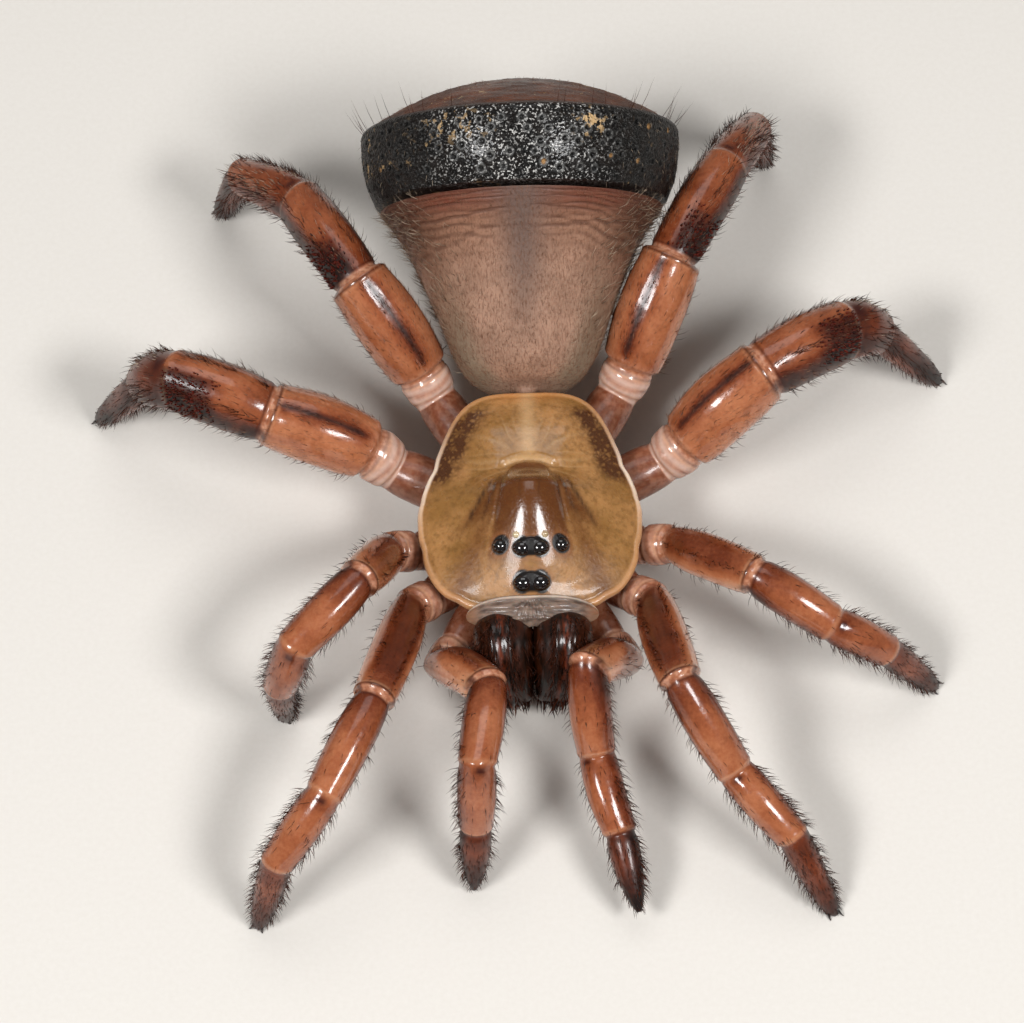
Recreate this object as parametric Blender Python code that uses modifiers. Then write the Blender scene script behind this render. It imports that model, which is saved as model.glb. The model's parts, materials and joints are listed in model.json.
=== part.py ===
"""A trapdoor spider with a hardened, cut-off abdomen, life size and standing still.

Metres, +Z up, floor at Z 0. The spider faces -Y, and its own left side is +X.
Sizes are written in millimetres and turned into metres where a mesh is made.
"""

import math

import bmesh
import bpy
from mathutils import Vector

MM = 0.001
LEFT, RIGHT = 1, -1
SIDES = {"left": LEFT, "right": RIGHT}

# The spider is drawn about a point below its carapace. This moves the middle of its stance to the origin
STANCE = Vector((0.29, -0.95, 0.0))

# Room between neighbouring pieces, and between an eye and its cup
GAP = 0.2
EYE_GAP = 0.05

# Carapace: the shield over the front body
CARAPACE_MIDDLE_Y = 0.35
CARAPACE_HALF_LENGTH = 3.75
CARAPACE_HALF_WIDTH = 3.5
CARAPACE_REAR_NARROWING = 1.2
CARAPACE_FRONT_SQUARENESS = 3.0
CARAPACE_REAR_SQUARENESS = 4.0
CARAPACE_EDGE_Z = 3.3
CARAPACE_REAR_LIFT = 0.4
CARAPACE_DOME = 0.95
CARAPACE_EDGE_THICKNESS = 0.2
CARAPACE_FLOOR_Z = 2.95
CARAPACE_SIDES = 40
CAPUT_RISE = 1.05
CAPUT_HALF_WIDTH = 1.45
CAPUT_REAR_Y = 1.35
CAPUT_CREST_Y = 0.15
CAPUT_FRONT_Y = -4.2
CAPUT_FRONT_SHARE = 0.25
FOVEA_Y = 1.45
FOVEA_RADIUS = 0.75
FOVEA_DEPTH = 0.42
FOVEA_GROOVE = 0.16

# Eyes: distance from the midline, place along the body, radius
EYES = {
    "front_lateral": (0.29, -2.68, 0.27),
    "front_median": (0.29, -1.73, 0.26),
    "rear_lateral": (0.93, -1.57, 0.24),
    "rear_median": (0.43, -1.35, 0.13),
}
EYE_SUNK = 0.35

# Underside of the front body
STERNUM_HALF_LENGTH = 2.9
STERNUM_HALF_WIDTH = 1.9
STERNUM_BOTTOM_Z = 1.3
STERNUM_TOP_Z = 2.7
STERNUM_RINGS = ((0.0, 0.55), (0.08, 0.8), (0.3, 0.96), (0.7, 1.0), (1.0, 0.92))
STERNUM_SIDES = 24
COXA_INNER_SHARE = 0.36
COXA_Z = 1.85
KNEE_RISE = 0.35
TROCHANTER_LENGTH = 0.85
# Places and shares of the coxa's radius, first along the coxa and then along the trochanter
COXA_SHAPE = ((0.0, 0.8), (0.45, 1.0), (0.85, 0.98))
TROCHANTER_SHAPE = ((0.0, 0.8), (0.35, 0.98), (0.75, 0.95))

# Chelicerae: rings as distance from the midline, place along the body, height, half width, half height
# and droop in degrees
CHELICERA_RINGS = (
    (0.98, -3.40, 3.05, 0.62, 0.62, 0),
    (0.98, -3.72, 3.08, 0.84, 0.88, 5),
    (0.98, -4.25, 3.02, 0.87, 1.02, 14),
    (0.92, -4.80, 2.72, 0.82, 0.94, 28),
    (0.80, -5.25, 2.36, 0.70, 0.74, 42),
    (0.65, -5.55, 2.05, 0.52, 0.50, 52),
    (0.58, -5.70, 1.85, 0.28, 0.26, 56),
)
CHELICERA_SIDES = 18
RASTELLUM_SPINES = 7
RASTELLUM_INNER = Vector((0.40, -5.36, 2.32))
RASTELLUM_OUTER = Vector((0.95, -5.24, 2.22))
RASTELLUM_SPINE_LENGTH = 0.42
RASTELLUM_SPINE_RADII = (0.10, 0.09, 0.03)
FANG_X = 0.58
FANG_X_STEP = 0.02
FANG_PATH = (
    (-5.79, 1.72),
    (-5.92, 1.52),
    (-5.92, 1.20),
    (-5.68, 0.94),
    (-5.20, 0.80),
    (-4.60, 0.80),
    (-4.10, 0.95),
)
FANG_RADII = (0.23, 0.25, 0.25, 0.22, 0.18, 0.11, 0.03)

# Abdomen: rings as place along the body, height, half width, half height, tilt in degrees
ABDOMEN_RINGS = (
    (4.05, 3.14, 0.30, 0.28, 0),
    (4.42, 3.20, 0.36, 0.34, 0),
    (4.50, 3.30, 1.10, 0.95, 0),
    (4.80, 3.40, 1.75, 1.50, 2),
    (5.50, 3.62, 2.25, 2.02, 5),
    (6.50, 4.00, 2.68, 2.60, 9),
    (7.60, 4.45, 3.15, 3.25, 13),
    (8.60, 4.92, 3.65, 3.85, 16),
    (9.25, 5.25, 4.12, 4.28, 18),
    (9.62, 5.44, 4.44, 4.50, 18.6),
)
ABDOMEN_SIDES = 32
SHIELD_TILT = 18.6
SHIELD_CENTRE = Vector((0.0, 12.05, 6.25))
SHIELD_RADIUS = 5.0
SHIELD_FRONT_RADIUS = 4.58
SHIELD_WALL = 2.35
SHIELD_DOME = 1.5
SHIELD_RIM_ROUND = 0.22
SHIELD_STEPS = 48
SPINNERET_X = 0.55
SPINNERET_X_STEP = 0.08
SPINNERET_PATH = ((10.25, 0.84), (10.50, 0.66), (11.10, 0.52), (11.70, 0.50))
SPINNERET_RADII = (0.24, 0.27, 0.23, 0.10)

# Each limb's root, where its femur starts, and its segments' lengths and greatest widths
LIMBS = {
    "palp": {
        "root": Vector((2.85, -4.50, 2.25)),
        "lengths": (3.10, 2.75, 2.55, 2.45),
        "widths": (1.38, 1.32, 1.20, 0.98),
        "coxa_radius": 0.58,
    },
    "leg1": {
        "root": Vector((3.75, -2.75, 2.70)),
        "lengths": (4.80, 3.35, 2.70, 3.10),
        "widths": (1.46, 1.32, 1.22, 0.98),
        "coxa_radius": 0.66,
    },
    "leg2": {
        "root": Vector((4.40, -0.80, 2.70)),
        "lengths": (3.70, 2.80, 2.20, 2.85),
        "widths": (1.42, 1.35, 1.22, 0.95),
        "coxa_radius": 0.66,
    },
    "leg3": {
        "root": Vector((4.95, 2.65, 2.80)),
        "lengths": (3.45, 3.10, 1.65, 3.65),
        "widths": (2.25, 2.05, 1.55, 1.05),
        "coxa_radius": 0.78,
    },
    "leg4": {
        "root": Vector((3.30, 5.40, 2.80)),
        "lengths": (3.80, 3.65, 2.80, 3.75),
        "widths": (2.15, 1.70, 1.35, 1.00),
        "coxa_radius": 0.74,
    },
}

# Each segment's heading and rise in degrees. A heading of 0 points straight out to the side and 90 to the
# rear. A rise of None ends a foot on the floor
POSE = {
    ("palp", "right"): ((-128, 42), (-82, 8), (-85, -65), (-84, -62)),
    ("palp", "left"): ((-129, 52), (-84, -45), (-74, -20), (-77, -22)),
    ("leg1", "right"): ((-74, 27), (-62, -7), (-45, -38), (-52, None)),
    ("leg1", "left"): ((-80, 33), (-53, -37), (-46, -23), (-52, None)),
    ("leg2", "right"): ((-68, 48), (-44, -12), (-33, -73), (113, None)),
    ("leg2", "left"): ((-39, 29), (-29, -19), (-12, -36), (-8, None)),
    ("leg3", "right"): ((15, 19), (20, 8), (25, -47), (13, None)),
    ("leg3", "left"): ((32, 32), (32, -11), (19, -41), (-6, None)),
    ("leg4", "right"): ((46, 43), (60, -9), (42, -28), (35, None)),
    ("leg4", "left"): ((62, 38), (61, -1), (64, -33), (60, None)),
}
FOOT_TIP_Z = -0.08

# Segment shapes as place along the segment and share of its greatest width
FEMUR = ((0.0, 0.66), (0.1, 0.86), (0.3, 1.0), (0.62, 1.0), (0.86, 0.88), (1.0, 0.68))
PATELLA = ((0.0, 0.68), (0.12, 0.9), (0.35, 1.0), (0.65, 1.0), (0.88, 0.9), (1.0, 0.72))
TIBIA = ((0.0, 0.74), (0.14, 0.96), (0.4, 1.0), (0.75, 0.94), (1.0, 0.72))
FOOT = (
    (0.0, 0.80),
    (0.12, 1.0),
    (0.35, 0.96),
    (0.52, 0.86),
    (0.58, 0.68),
    (0.64, 0.74),
    (0.80, 0.66),
    (0.93, 0.52),
    (1.0, 0.34),
)
PALP_TARSUS = ((0.0, 0.82), (0.12, 1.0), (0.45, 0.92), (0.72, 0.68), (0.9, 0.42), (1.0, 0.2))
SHAPES = {"femur": FEMUR, "patella": PATELLA, "tibia": TIBIA, "foot": FOOT, "tarsus": PALP_TARSUS}
LIMB_SIDES = 12
FEMUR_FURROW = 0.12
FURROWED = ("leg3", "leg4")
DORSAL_ARCH = 0.07
MITRE_REACH = 0.35
CLAW_LENGTH = 0.42
CLAW_RADIUS = 0.09
CLAW_SPREAD = 0.10
CLAW_SET_BACK = 0.30
CLAW_LEAST_Z = 0.05


def clear_scene():
    for old in list(bpy.data.objects):
        bpy.data.objects.remove(old, do_unlink=True)


def make_collection(name):
    collection = bpy.data.collections.new(name)
    bpy.context.scene.collection.children.link(collection)
    return collection


def material(name, colour, roughness):
    made = bpy.data.materials.new(name)
    made.use_nodes = True
    shader = made.node_tree.nodes["Principled BSDF"]
    shader.inputs["Base Color"].default_value = (*colour, 1.0)
    shader.inputs["Roughness"].default_value = roughness
    shader.inputs["Metallic"].default_value = 0.0
    return made


def object_of(bm, name, finish, collection, place=Vector()):
    """Ends a bmesh that was drawn in millimetres about `place` as an object in metres."""
    bmesh.ops.recalc_face_normals(bm, faces=bm.faces)
    bmesh.ops.scale(bm, vec=(MM, MM, MM), verts=bm.verts)
    mesh = bpy.data.meshes.new(name)
    bm.to_mesh(mesh)
    bm.free()
    mesh.shade_smooth()
    mesh.set_sharp_from_angle(angle=math.radians(40))
    mesh.materials.append(finish)
    made = bpy.data.objects.new(name, mesh)
    made.location = place * MM
    collection.objects.link(made)
    return made


def loft(rings):
    """A closed surface through rings of as many points each, with flat ends."""
    bm = bmesh.new()
    loops = [[bm.verts.new(point) for point in ring] for ring in rings]
    for low, high in zip(loops, loops[1:]):
        for i in range(len(low)):
            j = (i + 1) % len(low)
            bm.faces.new((low[i], low[j], high[j], high[i]))
    bm.faces.new(reversed(loops[0]))
    bm.faces.new(loops[-1])
    return bm


def angles(count):
    return [math.tau * i / count for i in range(count)]


def smooth(low, high, value):
    """0 below low and 1 above high, or the other way round where low is the greater."""
    share = min(1.0, max(0.0, (value - low) / (high - low)))
    return share * share * (3 - 2 * share)


def body_ring(x, y, z, half_width, half_height, tilt, count):
    """An upright ellipse across the body, leaning back by `tilt` degrees."""
    lean = math.radians(tilt)
    up = Vector((0.0, -math.sin(lean), math.cos(lean)))
    middle = Vector((x, y, z))
    return [
        middle + Vector((half_width * math.cos(a), 0, 0)) + up * half_height * math.sin(a)
        for a in angles(count)
    ]


def tube(path, radii, count):
    """A tapered, bent rod: one round ring at each point of the path, square to it."""
    rings = []
    for i, point in enumerate(path):
        ahead = (path[min(i + 1, len(path) - 1)] - path[max(i - 1, 0)]).normalized()
        side = ahead.orthogonal().normalized() if not rings else (side - ahead * side.dot(ahead)).normalized()
        up = ahead.cross(side)
        rings.append([point + (side * math.cos(a) + up * math.sin(a)) * radii[i] for a in angles(count)])
    return loft(rings)


def keep_largest(mesh):
    """Drops every closed surface of the mesh but the one that fills the largest box."""
    bm = bmesh.new()
    bm.from_mesh(mesh)
    left = set(bm.verts)
    shells = []
    while left:
        shell, edge = set(), [left.pop()]
        while edge:
            vert = edge.pop()
            shell.add(vert)
            near = [e.other_vert(vert) for e in vert.link_edges]
            edge += [v for v in near if v in left]
            left.difference_update(near)
        low = [min(v.co[i] for v in shell) for i in range(3)]
        high = [max(v.co[i] for v in shell) for i in range(3)]
        shells.append((math.prod(h - l for l, h in zip(low, high)), shell))
    shells.sort(key=lambda item: item[0])
    for _, shell in shells[:-1]:
        bmesh.ops.delete(bm, geom=list(shell), context="VERTS")
    bm.to_mesh(mesh)
    bm.free()


def combined(base, others, operation):
    """Joins the others to the base, or cuts them out of it, and removes them."""
    helpers = bpy.data.collections.new("helpers")
    for other in others:
        for holder in list(other.users_collection):
            holder.objects.unlink(other)
        helpers.objects.link(other)
    bpy.context.scene.collection.children.link(helpers)
    modifier = base.modifiers.new(operation.title(), "BOOLEAN")
    modifier.operation = operation
    modifier.operand_type = "COLLECTION"
    modifier.collection = helpers
    modifier.solver = "EXACT"
    graph = bpy.context.evaluated_depsgraph_get()
    mesh = bpy.data.meshes.new_from_object(base.evaluated_get(graph))
    base.modifiers.clear()
    base.data = mesh
    for other in list(helpers.objects):
        bpy.data.objects.remove(other, do_unlink=True)
    bpy.data.collections.remove(helpers)
    keep_largest(base.data)
    return base


# Carapace


def carapace_reach(angle):
    """How far the outline lies from its middle. Angle 0 is the left side and 90 degrees the rear."""
    across, along = math.cos(angle), math.sin(angle)
    half_width = CARAPACE_HALF_WIDTH - CARAPACE_REAR_NARROWING * max(0.0, along)
    power = CARAPACE_REAR_SQUARENESS if along > 0 else CARAPACE_FRONT_SQUARENESS
    total = abs(across / half_width) ** power + abs(along / CARAPACE_HALF_LENGTH) ** power
    return total ** (-1 / power)


def caput(x, y):
    """How far the raised head part stands above the rest. It falls from its crest to the front edge."""
    narrow = math.exp(-((x / CAPUT_HALF_WIDTH) ** 2))
    ahead = min(1.0, max(0.0, (CAPUT_CREST_Y - y) / (CAPUT_CREST_Y - CAPUT_FRONT_Y)))
    fall = 1 - (1 - CAPUT_FRONT_SHARE) * ahead
    return CAPUT_RISE * narrow * smooth(CAPUT_REAR_Y, CAPUT_CREST_Y, y) * fall


def carapace_edge_z(y):
    return CARAPACE_EDGE_Z + CARAPACE_REAR_LIFT * smooth(0.5, 4.0, y)


def carapace_top(x, y):
    back = y - CARAPACE_MIDDLE_Y
    share = min(1.0, math.hypot(x, back) / carapace_reach(math.atan2(back, x)))
    return carapace_edge_z(y) + CARAPACE_DOME * (1 - share**2.3) + caput(x, y)


def carapace_ring(share, height):
    """One ring of the outline, drawn in to a share of its size. `height` gives Z from x and y."""
    ring = []
    for a in angles(CARAPACE_SIDES):
        reach = carapace_reach(a) * share
        x, y = reach * math.cos(a), CARAPACE_MIDDLE_Y + reach * math.sin(a)
        ring.append(Vector((x, y, height(x, y))))
    return ring


def make_carapace(finish, collection):
    rings = [
        carapace_ring(0.90, lambda x, y: CARAPACE_FLOOR_Z),
        carapace_ring(0.94, lambda x, y: carapace_edge_z(y) - CARAPACE_EDGE_THICKNESS),
        carapace_ring(1.0, lambda x, y: carapace_top(x, y) - CARAPACE_EDGE_THICKNESS * 0.6),
    ]
    for share in (1.0, 0.96, 0.9, 0.8, 0.68, 0.55, 0.42, 0.3, 0.18, 0.07):
        rings.append(carapace_ring(share, carapace_top))
    carapace = object_of(loft(rings), "carapace", finish, collection)
    cups = [
        sphere("cup", eye_centre(kind, side), EYES[kind][2] + EYE_GAP, 12, finish, collection)
        for kind in EYES
        for side in SIDES.values()
    ]
    arc = [
        Vector((FOVEA_RADIUS * math.sin(a), FOVEA_Y - FOVEA_DEPTH * (1 - math.cos(a)), 0))
        for a in (-1.2, -0.8, -0.4, 0.0, 0.4, 0.8, 1.2)
    ]
    radii = [FOVEA_GROOVE * share for share in (0.4, 0.85, 1.0, 1.2, 1.0, 0.85, 0.4)]
    for point in arc:
        point.z = carapace_top(point.x, point.y)
    groove = object_of(tube(arc, radii, 10), "groove", finish, collection)
    return combined(carapace, [*cups, groove], "DIFFERENCE")


# Eyes


def eye_centre(kind, side):
    out, y, radius = EYES[kind]
    return Vector((side * out, y, carapace_top(out, y) - radius * EYE_SUNK))


def sphere(name, centre, radius, count, finish, collection):
    bm = bmesh.new()
    bmesh.ops.create_uvsphere(bm, u_segments=count, v_segments=count // 2, radius=radius)
    return object_of(bm, name, finish, collection, centre)


def make_eyes(finish, collection):
    for kind, (_, _, radius) in EYES.items():
        for word, side in SIDES.items():
            sphere(f"eye_{kind}_{word}", eye_centre(kind, side), radius, 12, finish, collection)


# Limbs


def limb_points(limb, word):
    """The joints of a limb from its root to its tip."""
    side = SIDES[word]
    here = LIMBS[limb]["root"].copy()
    here.x *= side
    points = [here]
    for length, (heading, rise) in zip(LIMBS[limb]["lengths"], POSE[limb, word]):
        if rise is None:
            rise = -math.degrees(math.asin((here.z - FOOT_TIP_Z) / length))
        across, up = math.radians(heading), math.radians(rise)
        step = Vector((side * math.cos(across) * math.cos(up), math.sin(across) * math.cos(up), math.sin(up)))
        here = here + step * length
        points.append(here)
    return points


def segment_rings(start, end, trims, mitres, up, shape, width, arch, furrow):
    """Rings along one limb segment. Each end is trimmed and lies in the plane that halves the bend there."""
    ahead = (end - start).normalized()
    side = ahead.cross(up).normalized()
    length = (end - start).length - sum(trims)
    rings = []
    for share, size in shape:
        lean_in = max(0.0, 1 - share / MITRE_REACH)
        lean_out = max(0.0, 1 - (1 - share) / MITRE_REACH)
        normal = (ahead + (mitres[0] - ahead) * lean_in + (mitres[1] - ahead) * lean_out).normalized()
        middle = start + ahead * (trims[0] + length * share) + up * arch * width * math.sin(math.pi * share)
        ring = []
        for a in angles(LIMB_SIDES):
            radius = size * width / 2
            if furrow and 0.05 < share < 0.95 and math.sin(a) > 0.99:
                radius *= 1 - furrow
            offset = side * math.cos(a) * radius + up * math.sin(a) * radius
            ring.append(middle + offset - ahead * (offset.dot(normal) / ahead.dot(normal)))
        rings.append(ring)
    return rings


def halfway(before, after):
    return (before.normalized() + after.normalized()).normalized()


def cut_at_floor(bm):
    """Takes off what lies below the floor, so that the foot stands on a small flat."""
    geometry = bm.verts[:] + bm.edges[:] + bm.faces[:]
    bmesh.ops.bisect_plane(
        bm, geom=geometry, plane_co=(0, 0, 0), plane_no=(0, 0, -1), clear_outer=True
    )
    open_edges = [edge for edge in bm.edges if edge.is_boundary]
    if open_edges:
        bmesh.ops.contextual_create(bm, geom=open_edges)


def coxa_points(limb, word):
    """Where the limb's first two short segments start and meet, under the carapace."""
    side = SIDES[word]
    root = LIMBS[limb]["root"]
    flat = Vector((root.x, root.y - CARAPACE_MIDDLE_Y, 0))
    inner = Vector((root.x * COXA_INNER_SHARE, CARAPACE_MIDDLE_Y + flat.y * COXA_INNER_SHARE, COXA_Z))
    knee = Vector((root.x, root.y, 0)) - flat.normalized() * TROCHANTER_LENGTH
    knee.z = COXA_Z + (root.z - COXA_Z) * KNEE_RISE
    for point in (inner, knee):
        point.x *= side
    return inner, knee


def make_limb(limb, word, finishes, collection):
    points = limb_points(limb, word)
    _, knee = coxa_points(limb, word)
    steps = [b - a for a, b in zip([knee, *points], points)]
    mitres = [halfway(a, b) for a, b in zip(steps, steps[1:])] + [steps[-1].normalized()]
    names = ("femur", "patella", "tibia", "tarsus" if limb == "palp" else "foot")
    up = Vector((0, 0, 1))
    for i, segment in enumerate(names):
        start, end = points[i], points[i + 1]
        ahead = (end - start).normalized()
        up = (up - ahead * up.dot(ahead)).normalized()
        furrow = FEMUR_FURROW if segment == "femur" and limb in FURROWED else 0.0
        arch = DORSAL_ARCH if segment in ("femur", "patella") else 0.0
        width = LIMBS[limb]["widths"][i]
        trims = (GAP / 2, 0.0 if i == len(names) - 1 else GAP / 2)
        shape = SHAPES[segment]
        rings = segment_rings(start, end, trims, mitres[i : i + 2], up, shape, width, arch, furrow)
        name = f"{limb}_{word}_{segment}"
        made = object_of(loft(rings), name, finishes[segment], collection)
        if segment == "foot":
            finish_foot(made, end, ahead, up, collection, finishes[segment])


def finish_foot(foot, tip, ahead, up, collection, finish):
    """Adds the two claws and cuts the sole flat."""
    side = ahead.cross(up)
    forward = (up * 0.8 + ahead * 0.45).normalized()
    claws = []
    for turn in (-1, 1):
        root = tip - ahead * CLAW_SET_BACK + side * CLAW_SPREAD * turn
        middle = root + forward * CLAW_LENGTH * 0.6 + side * CLAW_SPREAD * turn
        point = middle + (forward + ahead).normalized() * CLAW_LENGTH * 0.5
        point.z = max(point.z, CLAW_LEAST_Z)
        radii = (CLAW_RADIUS, CLAW_RADIUS * 0.8, CLAW_RADIUS * 0.2)
        claws.append(object_of(tube([root, middle, point], radii, 6), "claw", finish, collection))
    combined(foot, claws, "UNION")
    bm = bmesh.new()
    bm.from_mesh(foot.data)
    cut_at_floor(bm)
    bm.to_mesh(foot.data)
    bm.free()


# Underside of the front body


def make_sternum(finish, collection):
    rings = []
    for rise, share in STERNUM_RINGS:
        z = STERNUM_BOTTOM_Z + (STERNUM_TOP_Z - STERNUM_BOTTOM_Z) * rise
        ring = []
        for a in angles(STERNUM_SIDES):
            x = STERNUM_HALF_WIDTH * share * math.cos(a)
            y = CARAPACE_MIDDLE_Y + STERNUM_HALF_LENGTH * share * math.sin(a)
            ring.append(Vector((x, y, z)))
        rings.append(ring)
    sternum = object_of(loft(rings), "sternum_and_coxae", finish, collection)
    coxae = []
    for limb in LIMBS:
        for word in SIDES:
            coxae.append(make_coxa(limb, word, finish, collection))
    return combined(sternum, coxae, "UNION")


def make_coxa(limb, word, finish, collection):
    """The coxa and the trochanter, down to the plane where the femur starts."""
    inner, knee = coxa_points(limb, word)
    points = limb_points(limb, word)
    radius = LIMBS[limb]["coxa_radius"]
    thin = LIMBS[limb]["widths"][0] * FEMUR[0][1] / 2
    outer = knee + (points[0] - knee).normalized() * ((points[0] - knee).length - GAP / 2)
    ahead = (outer - knee).normalized()
    normal = halfway(points[0] - knee, points[1] - points[0])
    rings = []
    for start, end, shape in ((inner, knee, COXA_SHAPE), (knee, outer, TROCHANTER_SHAPE)):
        along = (end - start).normalized()
        side = along.cross(Vector((0, 0, 1))).normalized()
        up = side.cross(along)
        for share, size in shape:
            middle = start.lerp(end, share)
            reach = radius * size
            turns = [side * math.cos(a) + up * math.sin(a) for a in angles(LIMB_SIDES)]
            rings.append([middle + turn * reach for turn in turns])
    side = ahead.cross(Vector((0, 0, 1))).normalized()
    up = side.cross(ahead)
    last = []
    for a in angles(LIMB_SIDES):
        offset = (side * math.cos(a) + up * math.sin(a)) * thin
        last.append(outer + offset - ahead * (offset.dot(normal) / ahead.dot(normal)))
    rings.append(last)
    return object_of(loft(rings), "coxa", finish, collection)


# Mouthparts


def make_chelicera(word, finish, fang_finish, collection):
    side = SIDES[word]
    rings = [
        body_ring(side * out, y, z, wide, high, droop, CHELICERA_SIDES)
        for out, y, z, wide, high, droop in CHELICERA_RINGS
    ]
    chelicera = object_of(loft(rings), f"chelicera_{word}", finish, collection)
    spines = []
    for i in range(RASTELLUM_SPINES):
        share = i / (RASTELLUM_SPINES - 1)
        root = RASTELLUM_INNER.lerp(RASTELLUM_OUTER, share)
        root.x *= side
        lean = Vector((0.0, -0.85, -0.45 + 0.2 * math.cos(3 * i))).normalized()
        path = [root + lean * RASTELLUM_SPINE_LENGTH * part for part in (0.0, 0.5, 1.0)]
        spine = tube(path, RASTELLUM_SPINE_RADII, 6)
        spines.append(object_of(spine, "spine", finish, collection))
    combined(chelicera, spines, "UNION")
    path = [Vector((side * (FANG_X + FANG_X_STEP * i), y, z)) for i, (y, z) in enumerate(FANG_PATH)]
    object_of(tube(path, FANG_RADII, 12), f"fang_{word}", fang_finish, collection)


# Abdomen


def make_abdomen(finish, collection):
    rings = [
        body_ring(0.0, y, z, wide, high, tilt, ABDOMEN_SIDES) for y, z, wide, high, tilt in ABDOMEN_RINGS
    ]
    return object_of(loft(rings), "abdomen", finish, collection)


def shield_profile():
    """Down the outside of the shield: the dome, the rounded rim, the wall and its flat front."""
    flat = SHIELD_RADIUS - SHIELD_RIM_ROUND
    shares = (0, 0.15, 0.3, 0.45, 0.6, 0.75, 0.88, 1)
    dome = [(flat * share, SHIELD_DOME * (1 - share**2.2)) for share in shares]
    rim = [
        (flat + SHIELD_RIM_ROUND * math.sin(a), -SHIELD_RIM_ROUND * (1 - math.cos(a)))
        for a in (math.radians(40), math.radians(90))
    ]
    wall = [(SHIELD_RADIUS, -0.8), (SHIELD_RADIUS - 0.1, -1.6), (SHIELD_FRONT_RADIUS, -SHIELD_WALL)]
    return [*dome, *rim, *wall, (0.0, -SHIELD_WALL)]


def make_shield(finish, collection):
    bm = bmesh.new()
    verts = [bm.verts.new((radius * MM, 0, height * MM)) for radius, height in shield_profile()]
    for a, b in zip(verts, verts[1:]):
        bm.edges.new((a, b))
    mesh = bpy.data.meshes.new("abdomen_shield")
    bm.to_mesh(mesh)
    bm.free()
    mesh.materials.append(finish)
    shield = bpy.data.objects.new("abdomen_shield", mesh)
    turn = shield.modifiers.new("Turn", "SCREW")
    turn.steps = SHIELD_STEPS
    turn.render_steps = SHIELD_STEPS
    turn.use_merge_vertices = True
    turn.merge_threshold = 1e-6
    shield.location = SHIELD_CENTRE * MM
    shield.rotation_euler = (math.radians(SHIELD_TILT - 90), 0, 0)
    collection.objects.link(shield)
    return shield


def make_spinnerets(finish, collection):
    for word, side in SIDES.items():
        path = []
        for i, (y, z) in enumerate(SPINNERET_PATH):
            path.append(Vector((side * (SPINNERET_X + SPINNERET_X_STEP * i), y, z)))
        object_of(tube(path, SPINNERET_RADII, 12), f"spinneret_{word}", finish, collection)


def main():
    clear_scene()
    spider = make_collection("trapdoor_spider")
    tan = material("carapace_tan", (0.30, 0.17, 0.05), 0.3)
    chestnut = material("leg_chestnut", (0.22, 0.06, 0.02), 0.3)
    dark = material("foot_dark", (0.05, 0.02, 0.01), 0.45)
    black = material("eye_black", (0.01, 0.01, 0.012), 0.1)
    jaw = material("chelicera_black_brown", (0.04, 0.015, 0.01), 0.25)
    pale = material("coxa_pale", (0.42, 0.2, 0.12), 0.35)
    skin = material("abdomen_mauve", (0.20, 0.13, 0.11), 0.6)
    armour = material("shield_black", (0.02, 0.013, 0.01), 0.5)
    finishes = {"femur": chestnut, "patella": chestnut, "tibia": chestnut, "foot": dark, "tarsus": dark}
    make_carapace(tan, spider)
    make_eyes(black, spider)
    make_sternum(pale, spider)
    for limb in LIMBS:
        for word in SIDES:
            make_limb(limb, word, finishes, spider)
    for word in SIDES:
        make_chelicera(word, jaw, black, spider)
    make_abdomen(skin, spider)
    make_shield(armour, spider)
    make_spinnerets(skin, spider)
    stance = bpy.data.objects.new("stance", None)
    stance.location = STANCE * MM
    bpy.context.scene.collection.objects.link(stance)
    for piece in spider.objects:
        piece.parent = stance
    bpy.context.view_layer.update()


main()
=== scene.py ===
# %% [markdown]
# # A trapdoor spider at life size
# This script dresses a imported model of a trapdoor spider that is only 27 mm across. The model gives the
# places and sizes, and the cells below give it skin, glossy joints, eyes, pits and bristles.
# Everything is worked out in millimetres, which suit an animal of this size, and is turned into metres at
# the moment a mesh is made.

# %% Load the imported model
import json
import math

import bpy
import numpy as np
from mathutils import Matrix, Vector

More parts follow.
